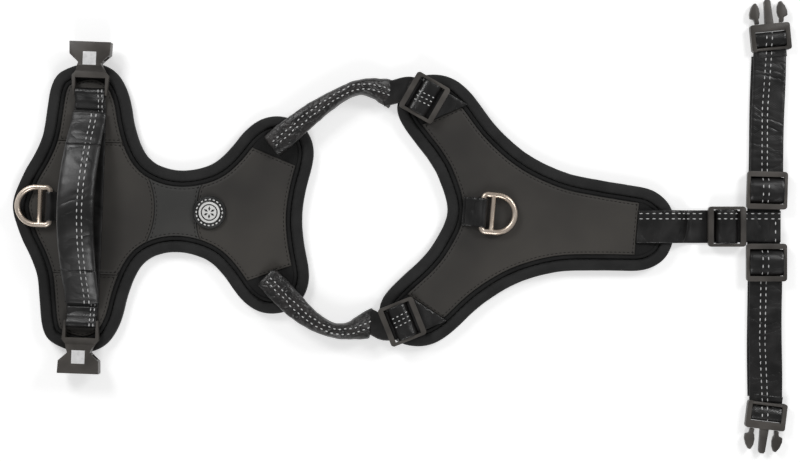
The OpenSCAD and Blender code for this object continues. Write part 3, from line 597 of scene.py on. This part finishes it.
def turned(name, profile, material, body, place):
    """A round piece turned from a profile of radius and height in mm."""
    points, faces, m, segments = [], [], len(profile), 72
    for i in range(segments):
        a = 2 * math.pi * i / segments
        points += [place @ Vector((r * math.cos(a), r * math.sin(a), z)) for r, z in profile]
        faces += [(i * m + j, i * m + j + 1, (i + 1) % segments * m + j + 1, (i + 1) % segments * m + j)
                  for j in range(m - 1)]
    return new_piece(name, points, faces, material, body)


rubber = moulding_material("Badge rubber", shade(18), shade(34), grain=1500, roughness=0.55)
print_white = moulding_material("White print", shade(225, 225, 223), shade(240, 240, 238), grain=1800,
                                depth=0.15, roughness=0.6)
badge_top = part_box("badge")[1].z / MM
badge_frame = back_frame @ moved(21, 0, badge_top)
badge_profile = [(0, -2.3), (12.3, -2.3), (12.5, -2.0), (12.5, -0.7), (12.3, -0.25), (11.9, 0), (11.4, -0.1),
                 (11.15, -0.45), (8.4, -0.5), (8.3, -0.3), (0, -0.3)]
rubber_disc = turned("badge_disc", badge_profile, rubber, "back", badge_frame)
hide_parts("badge")
white_disc = turned("badge_white_disc", [(0, -0.3), (8.0, -0.3), (8.0, -0.12), (7.85, -0.05), (0, -0.05)],
                    print_white, "back", badge_frame)
dark_ring = turned("badge_inner_ring", [(5.5, -0.1), (6.35, -0.1), (6.35, 0.06), (5.5, 0.06), (5.5, -0.1)],
                   rubber, "back", badge_frame)
lozenges, sides = [], []
for k in range(6):
    turn = badge_frame @ moved(0, 0, 0, 60 * k + 30) @ moved(2.9, 0, 0)
    for z in (-0.1, 0.06):
        lozenges += [turn @ Vector((x, y, z)) for x, y in ((1.7, 0), (0, 0.85), (-1.7, 0), (0, -0.85))]
    b = 8 * k
    sides += [(b, b + 1, b + 2, b + 3), (b + 7, b + 6, b + 5, b + 4)] + \
        [(b + i, b + 4 + i, b + 4 + (i + 1) % 4, b + (i + 1) % 4) for i in range(4)]
lozenge_print = new_piece("badge_lozenges", lozenges, sides, rubber, "back", smooth=False)
dash_radius, dash_height = 9.85, -0.42
circle = [badge_frame @ Vector((dash_radius * math.cos(a), dash_radius * math.sin(a), dash_height))
          for a in np.linspace(0, 2 * math.pi, 97)]
dashes = stitches("badge_dashes", [circle], print_white, "back", length=2.1, width=1.1, height=0.3, step=3.09)

# ---- Lead rings and their tabs ----
# Each ring is a cast D with a crossbar, plated a satin champagne colour.
# A short fold of webbing round its straight bar is sewn down on the panel.
def moulded(node, material, body, radius=0.5):
    """A CAD node's shape with its edges rounded as a mould leaves them."""
    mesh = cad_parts[node].data.copy()
    mesh.name = node + "_moulded"
    work = bmesh.new()
    work.from_mesh(mesh)
    bmesh.ops.remove_doubles(work, verts=work.verts, dist=2e-6)
    bmesh.ops.dissolve_limit(work, angle_limit=math.radians(0.8), verts=work.verts, edges=work.edges)
    work.to_mesh(mesh)
    work.free()
    for layer in list(mesh.attributes):
        if layer.name == "custom_normal":
            mesh.attributes.remove(layer)
    mesh.materials.clear()
    piece = put_out(mesh.name, mesh, material, smooth=False)
    if radius:
        bevel = piece.modifiers.new("Rounded edges", "BEVEL")
        bevel.width, bevel.segments = radius * MM, 3
        bevel.limit_method, bevel.angle_limit = "ANGLE", math.radians(32)
        bevel.use_clamp_overlap = True
        apply_modifiers(piece)
    piece.data.shade_smooth()
    piece.data.set_sharp_from_angle(angle=math.radians(38))
    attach(piece, body)
    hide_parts(node)
    return piece


FLAT = [(-1, 0), (-0.985, 0.75), (-0.94, 1.06), (-0.8, 1.0), (-0.55, 0.97), (-0.28, 1.0)]
FLAT += [(0, 1.02)] + [(-a, h) for a, h in reversed(FLAT)]
FLAT += [(a, -h) for a, h in reversed(FLAT[1:-1])]


def sweep(name, path, material, body=None, place=Matrix(), side=None, section=FLAT, step=1.5, wave=0.2,
          seed=0.0, rounding=2, tuck=0.0):
    """Cloth along a path in mm; each point of the path is x, y, z, width and thickness."""
    line = spaced(eased(np.array(path, float), rounding), step)
    n, m = len(line), len(section)
    points, uv, run = [], [], 0.0
    for i, (x, y, z, width, thick) in enumerate(line):
        ahead = Vector(line[min(i + 1, n - 1), :3]) - Vector(line[max(i - 1, 0), :3])
        ahead.normalize()
        across = Vector(side) if side else Vector((-ahead.y, ahead.x, 0))
        across.normalize()
        up = ahead.cross(across).normalized() if side is None else across.cross(ahead).normalized() * -1
        pinch = 1 + tuck * ripple(run, 0, 5, seed + 2)
        for a, h in section:
            off = a * width / 2
            lift = wave * (ripple(run, off, 7, seed) + 0.5 * ripple(run, off, 3.2, seed + 5))
            rise = up * (h * thick / 2 + lift)
            points.append(place @ (Vector((x, y, z)) + across * a * width / 2 * pinch + rise))
            uv.append((run * MM, off * MM))
        run += step
    mesh = bpy.data.meshes.new(name)
    ends = [tuple(range(m)), tuple(range((n - 1) * m, n * m))]
    mesh.from_pydata([tuple(p * MM) for p in points], [], tube_faces(n, m) + ends)
    layer = mesh.uv_layers.new(name="Cloth")
    for loop in mesh.loops:
        layer.data[loop.index].uv = uv[loop.vertex_index]
    face_outwards(mesh)
    return put_out(name, mesh, material, body)


def arc_points(r, start, end, count):
    """Points of an arc about a bar, from one angle to another."""
    angles = np.radians(np.linspace(start, end, count))
    return [(r * math.cos(a), r * math.sin(a)) for a in angles]


def folded_loop(bar, tail, flap):
    """The line of webbing that runs in under a bar, folds round it and comes down on its own tail."""
    r, lap = bar + 1.0, 1.65
    return [(-tail, -r), (-r * 1.2, -r)] + arc_points(r, -90, 118, 12) + \
        [(-r * 1.45, r * 0.25), (-r * 2.3, -r + lap), (-flap, -r + lap)]


webbing = cloth_material("Black webbing", shade(15), shade(32, 31, 31), patches=70, threads=700, across=420,
                         thread_depth=0.3, creases=62, crease_depth=1.0, slant=(1, 0.5, 1), roughness=0.32,
                         painted_hollow_shade=0.12, gloss=0.6, laid_by="UV")
ring_plating = moulding_material("Satin champagne plating", shade(226, 208, 190), shade(242, 228, 214),
                                 grain=500, depth=0.06, roughness=0.34, patches=60, metallic=0.8)
strap_wide, strap_thick = 25, 1.5
ring_bar = 10.6
for end, body, place, tail in (("rear", "back", back_frame @ moved(-99, 0, ring_bar, 180), 14),
                               ("front", "chest", chest_frame @ moved(26, 2, ring_bar), 15)):
    moulded(end + "_lead_ring", ring_plating, end + "_ring", radius=0)
    path = [(x, 0, z, 22, strap_thick) for x, z in folded_loop(2, tail, tail - 2)]
    tab = sweep(end + "_ring_tab_webbing", path, webbing, body, place, side=(0, 1, 0), wave=0.1, seed=tail,
                step=0.8)
    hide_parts(end + "_ring_tab")

# ---- Buckle strap ----
# One length of glossy black webbing crosses the back panel under the handle. Each end passes round the bar
# of a buckle socket, comes back on itself and is sewn down with two rows of reflective thread.
reflective_thread = moulding_material("Reflective thread", shade(196), shade(232), grain=2400,
                                      depth=0.3, roughness=0.35)


def laid_on(piece, spots, lift=0.15):
    """Points of a seam line dropped from above on a piece, in mm; spots that miss it are left out."""
    cloth = BVHTree.FromObject(piece, bpy.context.evaluated_depsgraph_get())
    found = []
    for spot in spots:
        hit = cloth.ray_cast(Vector((spot[0] * MM, spot[1] * MM, 0.2)), Vector((0, 0, -1)))[0]
        if hit:
            found.append((hit.x / MM, hit.y / MM, hit.z / MM + lift))
    return found


def seam_line(place, points):
    """A seam drawn in a piece's own axes, as close points in the common frame."""
    return [tuple(place @ Vector((x, y, 0)))[:2] for x, y in spaced(points, 1.5)]


handle_x, strap_turn, strap_bar = -72, 87, 10.3
half = folded_loop(1.7, 16, 12.5)
crossing = [(-strap_turn - x, z + strap_bar) for x, z in reversed(half)] + \
    [(strap_turn + x, z + strap_bar) for x, z in half]
path = [(handle_x, y, z, strap_wide if abs(y) < 72 else 22.5, strap_thick) for y, z in crossing]
buckle_strap = sweep("buckle_strap_webbing", path, webbing, "back", back_frame, side=(1, 0, 0), wave=0.22,
                     seed=7, step=1.2)
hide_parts("buckle_strap")
rows = [laid_on(buckle_strap, seam_line(back_frame, [(x, s * 73), (x, s * 88)]))
        for x in (-65.4, -62.6) for s in (1, -1)]
sewn = stitches("buckle_strap_stitches", rows, reflective_thread, "back", 2.6, 0.8, 0.5, 3.6)

# ---- Handle ----
# A sleeve of glossy cloth is stuffed round the grip, leans to the rear and is sewn flat at both ends.
# Two rows of reflective stitches run along its crown.
SOFT = [(math.copysign(abs(c) ** 0.6, c), math.copysign(abs(s) ** 0.75, s))
        for c, s in ((math.cos(a), math.sin(a)) for a in np.linspace(0, 2 * math.pi, 29)[:-1])]
handle_cloth = cloth_material("Glossy handle cloth", shade(17), shade(36, 35, 35), patches=55, threads=800,
                              across=800, thread_depth=0.25, creases=48, crease_depth=1.0, slant=(1, 0.6, 1),
                              roughness=0.34, painted_hollow_shade=0.1, gloss=0.65, laid_by="UV")


def handle_point(y):
    """The handle's middle line: place, width and thickness at a distance from its middle."""
    rise = 20 * max(math.cos(math.radians(90 * y / 68)), 0) ** 1.1
    thick = 1.6 + 6.4 * max(math.cos(math.radians(80 * y / 68)), 0) ** 0.5
    lean = (rise + thick / 2) * math.tan(math.radians(8)) * min(1, (72 - abs(y)) / 16)
    return (handle_x - lean, y, 8.5 + rise + thick / 2, 27.5 - 2.0 * (abs(y) / 72) ** 2, thick)


def metres(place, x, y, z=0):
    """A point given in mm in a piece's own axes, in metres in the common frame."""
    return tuple(place @ Vector((x, y, z)) * MM)


grip_end, handle_end = 46.15, 72
for node, start, end, body, count in (("handle_grip", -grip_end, grip_end, "handle", 40),
                                      ("upper_handle_end", grip_end, handle_end, None, 14),
                                      ("lower_handle_end", -grip_end, -handle_end, None, 14)):
    path = [handle_point(y) for y in np.linspace(start, end, count)]
    sleeve = sweep(node + "_sleeve", path, handle_cloth, body, back_frame, side=(1, 0, 0), section=SOFT,
                   wave=0.35, seed=11, rounding=1, step=1.6)
    low, high = sorted((start, end))
    rows = []
    for off in (2.0, 5.6):
        spots = [(handle_point(y)[0] + off, y) for y in np.arange(low + 1, high - 1, 1.5)]
        rows.append(laid_on(sleeve, [tuple(back_frame @ Vector((x, y, 0)))[:2] for x, y in spots], 0.2))
    sewn = stitches(node + "_sleeve_stitches", rows, reflective_thread, body, 3.0, 0.9, 0.6, 4.9)
    if not body:
        side = math.copysign(1, start)
        for piece in (sleeve, sewn):
            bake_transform(piece, "back", "handle", metres(back_frame, handle_x, side * 68, 8),
                     metres(back_frame, handle_x, side * 46.3, 8))
    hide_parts(node)

# ---- Buckle sockets ----
# Two side-release sockets are moulded in grey-brown acetal, waisted between their side windows.
# Each carries a square of reflective sheeting set in its head.
acetal = moulding_material("Grey acetal", shade(60, 57, 54), shade(86, 82, 78), grain=1100, depth=0.22,
                           roughness=0.42)
sheeting = moulding_material("Reflective sheeting", shade(224), shade(242), grain=700,
                             depth=0.3, roughness=0.3, patches=200)
for side in ("upper", "lower"):
    moulded(side + "_socket", acetal, side + "_socket", radius=0.7)
    moulded(side + "_reflector", sheeting, side + "_socket", radius=0.15)

# ---- Neck sleeves ----
# Two soft tubes of crinkled cloth carry the neck webbing from the back panel. Each is stuffed, quilted down
# its middle with reflective thread, stands on edge round the bend and ends square at the slider.
def trim(piece, point, direction):
    """Cuts a closed piece on a plane, takes off what lies beyond it and closes the cut."""
    work = bmesh.new()
    work.from_mesh(piece.data)
    cut = bmesh.ops.bisect_plane(work, geom=work.verts[:] + work.edges[:] + work.faces[:], plane_co=point,
                                 plane_no=direction, clear_outer=True)
    rim = [part for part in cut["geom_cut"] if isinstance(part, bmesh.types.BMEdge)]
    bmesh.ops.holes_fill(work, edges=rim, sides=0)
    work.to_mesh(piece.data)
    work.free()


def stuffed_by_pressure(piece, voxel, pressure, cap, held, frames=20):
    """Remeshes a closed piece evenly and lets stuffing swell it between its held points."""
    even = piece.modifiers.new("Even mesh", "REMESH")
    even.mode, even.voxel_size, even.use_smooth_shade = "VOXEL", voxel * MM, True
    material = piece.data.materials[0]
    mesh = apply_modifiers(piece)
    mesh.materials.clear()
    mesh.materials.append(material)
    start = np.array([v.co for v in mesh.vertices])
    pins = piece.vertex_groups.new(name="Sewn")
    for i, p in enumerate(start):
        weight = held(p / MM)
        if weight > 0.02:
            pins.add([i], weight, "REPLACE")
    cloth = piece.modifiers.new("Stuffing", "CLOTH")
    how = cloth.settings
    how.use_pressure, how.uniform_pressure_force = True, pressure
    how.quality, how.mass = 5, 0.2
    how.tension_stiffness = how.compression_stiffness = 12
    how.bending_stiffness = 0.3
    how.vertex_group_mass = "Sewn"
    how.effector_weights.gravity = 0
    cloth.collision_settings.use_collision = False
    cloth.point_cache.frame_start, cloth.point_cache.frame_end = 1, frames
    for frame_number in range(1, frames + 1):
        bpy.context.scene.frame_set(frame_number)
    swollen = piece.evaluated_get(bpy.context.evaluated_depsgraph_get()).data
    move = np.array([v.co for v in swollen.vertices]) - start
    far = np.linalg.norm(move, axis=1)
    move *= np.minimum(1, cap * MM / np.maximum(far, 1e-9))[:, None]
    piece.modifiers.clear()
    piece.vertex_groups.clear()
    mesh.vertices.foreach_set("co", (start + move).ravel())
    bpy.context.scene.frame_set(1)
    rounder = piece.modifiers.new("Rounder", "SUBSURF")
    rounder.levels = rounder.render_levels = 1
    fine = apply_modifiers(piece)
    fine.polygons.foreach_set("use_smooth", [True] * len(fine.polygons))


sleeve_cloth = cloth_material("Crinkled sleeve cloth", shade(14), shade(40, 36, 35), patches=120,
                              thread_depth=0.3, creases=130, crease_depth=1.0, slant=(1, 1, 1),
                              roughness=0.36, painted_hollow_shade=0.15, gloss=0.7)
sleeve_lines = {
    "upper": [(68, 49, 10.2, 19, 8), (77, 56, 12.1, 19.5, 8.2), (88.3, 65.4, 12.7, 18.2, 8.2),
              (98.5, 73.6, 12.1, 16.2, 9.4), (109.5, 81.2, 11, 13.4, 13.2), (121.3, 88.7, 10, 11, 16),
              (134, 94.3, 9.2, 11, 16), (146, 93.2, 7.5, 15.6, 12.4), (156, 90, 4.9, 21.4, 7.6),
              (166, 86, 4.9, 23.4, 7.4)],
    "lower": [(64, -49, 10.2, 19, 8), (72.5, -57.5, 12.1, 19.5, 8.2), (82, -67.5, 12.7, 19, 8.2),
              (92.4, -77.5, 12.1, 16.2, 9.4), (103.5, -85.3, 11, 13, 13.2), (115.3, -90.3, 10, 11, 16),
              (126, -90.6, 9, 12.6, 15.2), (137, -87.3, 6.6, 19.4, 11.4), (144, -84.6, 4.9, 22.4, 7.6),
              (152, -81.5, 4.9, 23.4, 7.4)]}
fold_point, fold_way = Vector(metres(chest_frame, -50.3, 0)), chest_frame.to_3x3() @ Vector((1, 0, 0))


def past_fold(p):
    """How far a point in mm lies beyond the plane where the sleeve ends, in metres."""
    return (Vector(tuple(p)) * MM - fold_point).dot(fold_way)


for side, turn in (("upper", 1), ("lower", -1)):
    line = np.array(sleeve_lines[side], float)
    sleeve = sweep(side + "_neck_sleeve_cloth", line, sleeve_cloth, None, section=SOFT, step=1.6, wave=0.3,
                   seed=20 + turn, tuck=0.1)
    trim(sleeve, fold_point, fold_way)
    middle = spaced(eased(line), 1.0)

    def held(p, middle=middle):
        """How firmly a point is held: at both ends, and at the quilting knots along the top."""
        if past_fold(p) > -0.0015:
            return 1.0
        i = int(np.argmin(((middle[:, :2] - p[:2]) ** 2).sum(1)))
        if i < 4:
            return 1.0
        knot = abs((i % 6) - 3) / 3
        above = p[2] > middle[i, 2]
        return 0.9 if above and knot < 0.4 and np.hypot(*(middle[i, :2] - p[:2])) < 2.2 else 0.0

    stuffed_by_pressure(sleeve, 1.5, 5.0, 1.6, held)
    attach(sleeve, "back")
    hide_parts(side + "_neck_sleeve")
    seams = []
    for off in (-1.9, 1.9):
        spots = []
        for i in range(4, len(middle) - 1):
            way = middle[i + 1, :2] - middle[i - 1, :2]
            way /= np.linalg.norm(way)
            spots.append(middle[i, :2] + np.array([-way[1], way[0]]) * (off + ripple(i, 0, 9, off)))
        seams.append(laid_on(sleeve, [s for s in spots if past_fold((*s, 0)) < -0.001], 0.2))
    quilting = stitches(side + "_sleeve_quilting", seams, reflective_thread, "back", 2.2, 0.9, 0.7, 4.1)

# ---- Neck webbing and sliders ----
# The webbing comes out of each sleeve, runs under a square slider, humps over its middle bar and drops into
# a pocket left open between the chest cover and its foam. The sliders are the same acetal as the sockets.
neck_places = {"upper": ((-25, 84.3), -25, (-50.2, 86.2)), "lower": ((-27.2, -85), 27, (-48, -88.3))}
hump_wide = 25.65


def humped(reach, low, top, shoulder):
    """The line of webbing pushed up over a slider's middle bar."""
    rise = [(reach, low), (reach * 0.93, low + (top - low) * 0.35),
            (reach * shoulder, low + (top - low) * 0.86), (reach * 0.2, top)]
    return [(-x, 0, z, hump_wide, strap_thick) for x, z in rise] + \
        [(x, 0, z, hump_wide, strap_thick) for x, z in reversed(rise)]


for side, turn in (("upper", 1), ("lower", -1)):
    at, angle, start = neck_places[side]
    at, start = Vector(at), Vector(start)
    along = Vector((math.cos(math.radians(angle)), math.sin(math.radians(angle))))
    entry = at - along * 15
    lead = (entry - start).normalized()
    line = [(start - lead * 8, 8.0, 17), (start, 8.4, 18), (start + lead * 4, 8.7, 18), (entry, 8.8, 18),
            (entry + along * 5, 8.7, 23), (at, 8.7, 25), (at + along * 14, 8.7, 25),
            (at + along * 18.5, 7.9, 25), (at + along * 22.5, 7.0, 25), (at + along * 34, 6.9, 25)]
    path = [(p.x, p.y, z, width, strap_thick) for p, z, width in line]
    strap = sweep(side + "_neck_strap", path, webbing, None, chest_frame, wave=0.25, seed=30 + turn)
    inner, outer = Vector((-24, turn * 65)), Vector((7, turn * 82))
    edge = outer - inner
    across = chest_frame.to_3x3() @ Vector((edge.y * turn, -edge.x * turn, 0))
    trim(strap, metres(chest_frame, *inner), across)
    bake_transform(strap, "back", "chest", metres(chest_frame, -56, at.y, 8.7), metres(chest_frame, -46, at.y, 8.7))
    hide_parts(side + "_neck_webbing")
    moulded(side + "_neck_slider", acetal, "chest", radius=0.45)
    place = chest_frame @ moved(*at, 9.8, angle)
    hump = sweep(side + "_neck_hump", humped(7.4, 0.3, 5.2, 0.7), webbing, "chest", place, side=(0, 1, 0),
                 wave=0.45, seed=33 + turn, step=0.9)
    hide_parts(side + "_neck_fold")
    rows = [laid_on(hump, seam_line(place, [(-5.5, y), (5.5, y + 1)]))
            for y in (-4.6 * turn, -1.2 * turn, 2.2 * turn)]
    sewn = stitches(side + "_neck_hump_stitches", rows, reflective_thread, "chest", 2.0, 0.8, 0.5, 3.1)

# ---- Belly strap ----
# Webbing with two rows of reflective stitches is sewn under the end of the chest cover, crosses the rolled
# edge and joins the girth strap through a slider. Its far end is doubled over and sewn across that strap.
belly_y, stitch_ys = -11.5, (-1.6, -5.6)


def belly_webbing(name, line, width, body, wave, seed):
    """Webbing along the harness's middle, through places given as x and z."""
    path = [(x, belly_y, z, width, strap_thick) for x, z in line]
    return sweep(name, path, webbing, body, wave=wave, seed=seed)


belly_strap = belly_webbing("belly_strap", [
    (343, 6.5), (352, 6.7), (357, 7.6), (361, 8.7), (368, 8.9), (374.5, 8.6), (379, 5.4), (383.5, 1.2),
    (390, 0.9), (404, 0.9), (419, 0.9)], strap_wide, "chest", 0.2, 41)
trim(belly_strap, metres(chest_frame, 143.7, 0), chest_frame.to_3x3() @ Vector((-1, 0, 0)))
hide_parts("belly_webbing")
moulded("belly_slider", acetal, "belly_slider", radius=0.5)
belly_hump = sweep("belly_hump", humped(7.9, 0.2, 5.1, 0.66), webbing, "belly_slider",
                   moved(412.14, belly_y, 3.8), side=(0, 1, 0), wave=0.12, seed=42, step=0.9)
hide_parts("belly_fold")
belly_end = belly_webbing("belly_strap_end", [(403.8, 2.7), (420, 2.75), (436, 2.8), (453.4, 2.7)], 24,
                          "girth_hub", 0.15, 43)
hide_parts("belly_end_webbing")
for piece, node, body, start, end in ((belly_strap, "belly_webbing", "chest", 347, 393),
                                      (belly_hump, "belly_fold", "belly_slider", 406, 419),
                                      (belly_end, "belly_end_webbing", "girth_hub", 427, 452.5)):
    runs = [[(start, y), (end, y)] for y in stitch_ys]
    if piece is belly_end:
        runs.append([(449.5, -9), (449.5, -22)])
    rows = [laid_on(piece, spaced(run, 1.5)) for run in runs]
    stitches(node + "_stitches", rows, reflective_thread, body, 2.9, 0.85, 0.5, 4.6)

# ---- Girth strap ----
# The same webbing goes both ways from the sewn middle. Each side runs out to its clip, doubles back over
# itself with two rows of reflective stitches and ends on a slider that grips the under layer.
girth_x, under_z, over_z = 442.04, 0.85, 2.7


def girth_webbing(name, line, body, place, wave, seed):
    """Webbing along one side of the girth strap, through places given as x, y and z."""
    path = [(*p, strap_wide, strap_thick) for p in line]
    return sweep(name, path, webbing, body, place, wave=wave, seed=seed)


sewn_over = [(girth_x - 1, belly_y + off, under_z) for off in (-8.1, 0, 8.1)]
middle = girth_webbing("girth_strap_middle", sewn_over, "girth_hub", Matrix(), 0.05, 50)
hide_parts("girth_middle")
for side, turn, lean in (("upper", 1, 1.5), ("lower", -1, 0.0)):
    out = 12.3 + 12.5 * math.sin(math.radians(lean))
    place = moved(girth_x, belly_y + turn * out, 0) @ Matrix.Diagonal((1, turn, 1, 1)) @ moved(0, 0, 0, -lean)
    clip_place = place @ moved(0, 131.5, 3.6, 7)
    root = [(-1, y, under_z) for y in (-4, 4, 12, 20)]
    near = girth_webbing(side + "_girth_strap_root", root, None, place, 0.05, 51 + turn)
    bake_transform(near, "girth_hub", side + "_strap", metres(place, 0, -4, 3.6), metres(place, 0, 4, 3.6))
    under = [(-1 + 0.3 * math.sin(y / 17), y, under_z) for y in range(20, 118, 8)]
    far = girth_webbing(side + "_girth_strap_under", under, None, place, 0.12, 54 + turn)
    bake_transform(far, side + "_strap", side + "_clip", metres(place, 0, 20), metres(place, 0, 116))
    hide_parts(side + "_girth_webbing")
    doubled = [(0.3 * math.sin(y / 13), y, over_z) for y in (28, 40, 55, 70, 85, 100, 112, 121)]
    over = girth_webbing(side + "_girth_strap_over", doubled, side + "_clip", place, 0.12, 57 + turn)
    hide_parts(side + "_clip_webbing")
    loop = [(-16, -0.85), (-6, -0.9), (-3, -1.5), (-1.6, -2.2)] + arc_points(2.75, -100, 95, 10) + \
        [(-2.6, 2.75), (-5.2, 2.1), (-7.0, 0.7), (-7.6, -0.1)]
    path = [(0, y, z, 22.8, strap_thick) for y, z in loop]
    hump = sweep(side + "_clip_hump", path, webbing, side + "_clip", clip_place, side=(1, 0, 0), wave=0.12,
                 seed=60 + turn, step=0.8, rounding=1)
    slider_place = place @ moved(0, 14.85, 3.8, 90)
    moulded(side + "_girth_slider", acetal, side + "_slider", radius=0.5)
    dome = sweep(side + "_girth_dome", humped(9.3, 0.3, 5.3, 0.6), webbing, side + "_slider", slider_place,
                 side=(0, 1, 0), wave=0.15, seed=63 + turn, step=0.9)
    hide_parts(side + "_girth_fold")
    for piece, node, body, runs in (
            (near, "_girth_webbing", None, []), (far, "_girth_webbing", None, []),
            (over, "_clip_webbing", side + "_clip",
             [[(x, 30), (x - 1, 75), (x + 1, 119)] for x in (-3.6, 0.4)]),
            (hump, "_clip_webbing", side + "_clip", [[(x, 125), (x, 134.5)] for x in (-3.4, 0.8)]),
            (dome, "_girth_fold", side + "_slider", [[(x, 6.5), (x, 23)] for x in (-3.4, 0.8)])):
        rows = [laid_on(piece, seam_line(place, run), -0.05 if piece is over else 0.12) for run in runs]
        if rows:
            sewn = stitches(piece.name + "_stitches", rows, reflective_thread, body, 2.8, 0.85, 0.45, 4.5)

# ---- Clips ----
# Each clip is one acetal moulding: a frame with two bars for the webbing, a tapered guide and, on thin stems,
# two sprung arms with leaf-shaped heads that snap into the socket.
for side in ("upper", "lower"):
    moulded(side + "_clip", acetal, side + "_clip", radius=0.5)
    for hand in ("left", "right"):
        moulded(side + "_" + hand + "_latch", acetal, side + "_" + hand + "_latch", radius=0.7)

# ---- Stage ----
# A white table, three soft lights round it and the camera straight above.
floor_mesh = bpy.data.meshes.new("table")
reach, floor_z = 6, -0.0002
corners = [(x * reach, y * reach, floor_z) for x, y in ((-1, -1), (1, -1), (1, 1), (-1, 1))]
floor_mesh.from_pydata(corners, [], [(0, 1, 2, 3)])
paper = bpy.data.materials.new("White table")
paper.use_nodes = True
tree = paper.node_tree
tree.nodes.remove(tree.nodes["Principled BSDF"])
matt, glow, both, seen = (tree.nodes.new(kind) for kind in
    ("ShaderNodeBsdfDiffuse", "ShaderNodeEmission", "ShaderNodeAddShader", "ShaderNodeLightPath"))
matt.inputs["Color"].default_value = (0.85, 0.85, 0.85, 1)
direct = math_node(tree, "MAXIMUM", seen.outputs["Is Camera Ray"], seen.outputs["Is Glossy Ray"])
direct = math_node(tree, "MAXIMUM", direct, seen.outputs["Is Transmission Ray"])
tree.links.new(math_node(tree, "MULTIPLY", direct, 0.45), glow.inputs["Strength"])
tree.links.new(matt.outputs[0], both.inputs[0])
tree.links.new(glow.outputs[0], both.inputs[1])
tree.links.new(both.outputs[0], tree.nodes["Material Output"].inputs["Surface"])
table = put_out("table", floor_mesh, paper, smooth=False)
table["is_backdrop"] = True

world = bpy.data.worlds.new("Studio")
world.use_nodes = True
with_inputs(world.node_tree.nodes["Background"], Color=(1, 1, 1, 1), Strength=0.22)
bpy.context.scene.world = world
middle_of_harness = Vector((0.16, 0, 0))
for name, place, size, power in (("left", (-0.55, 0.75, 0.85), 0.45, 5.6),
                                 ("right", (1.05, 0.6, 0.8), 0.4, 5.0),
                                 ("front", (0.1, -1.05, 0.8), 0.5, 4.6)):
    lamp = bpy.data.lights.new(name, "AREA")
    lamp.size, lamp.energy = size, power
    light = bpy.data.objects.new(name, lamp)
    bpy.context.scene.collection.objects.link(light)
    light.location = place
    light.rotation_euler = (middle_of_harness - Vector(place)).to_track_quat("-Z", "Y").to_euler()

lens = bpy.data.cameras.new("Camera")
lens.sensor_width, lens.lens = 36, 71.05
camera = bpy.data.objects.new("Camera", lens)
bpy.context.scene.collection.objects.link(camera)
camera.location = (0.1649, -0.0148, 1.2)
bpy.context.scene.camera = camera
bpy.context.scene.view_settings.view_transform = "Standard"

low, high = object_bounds()
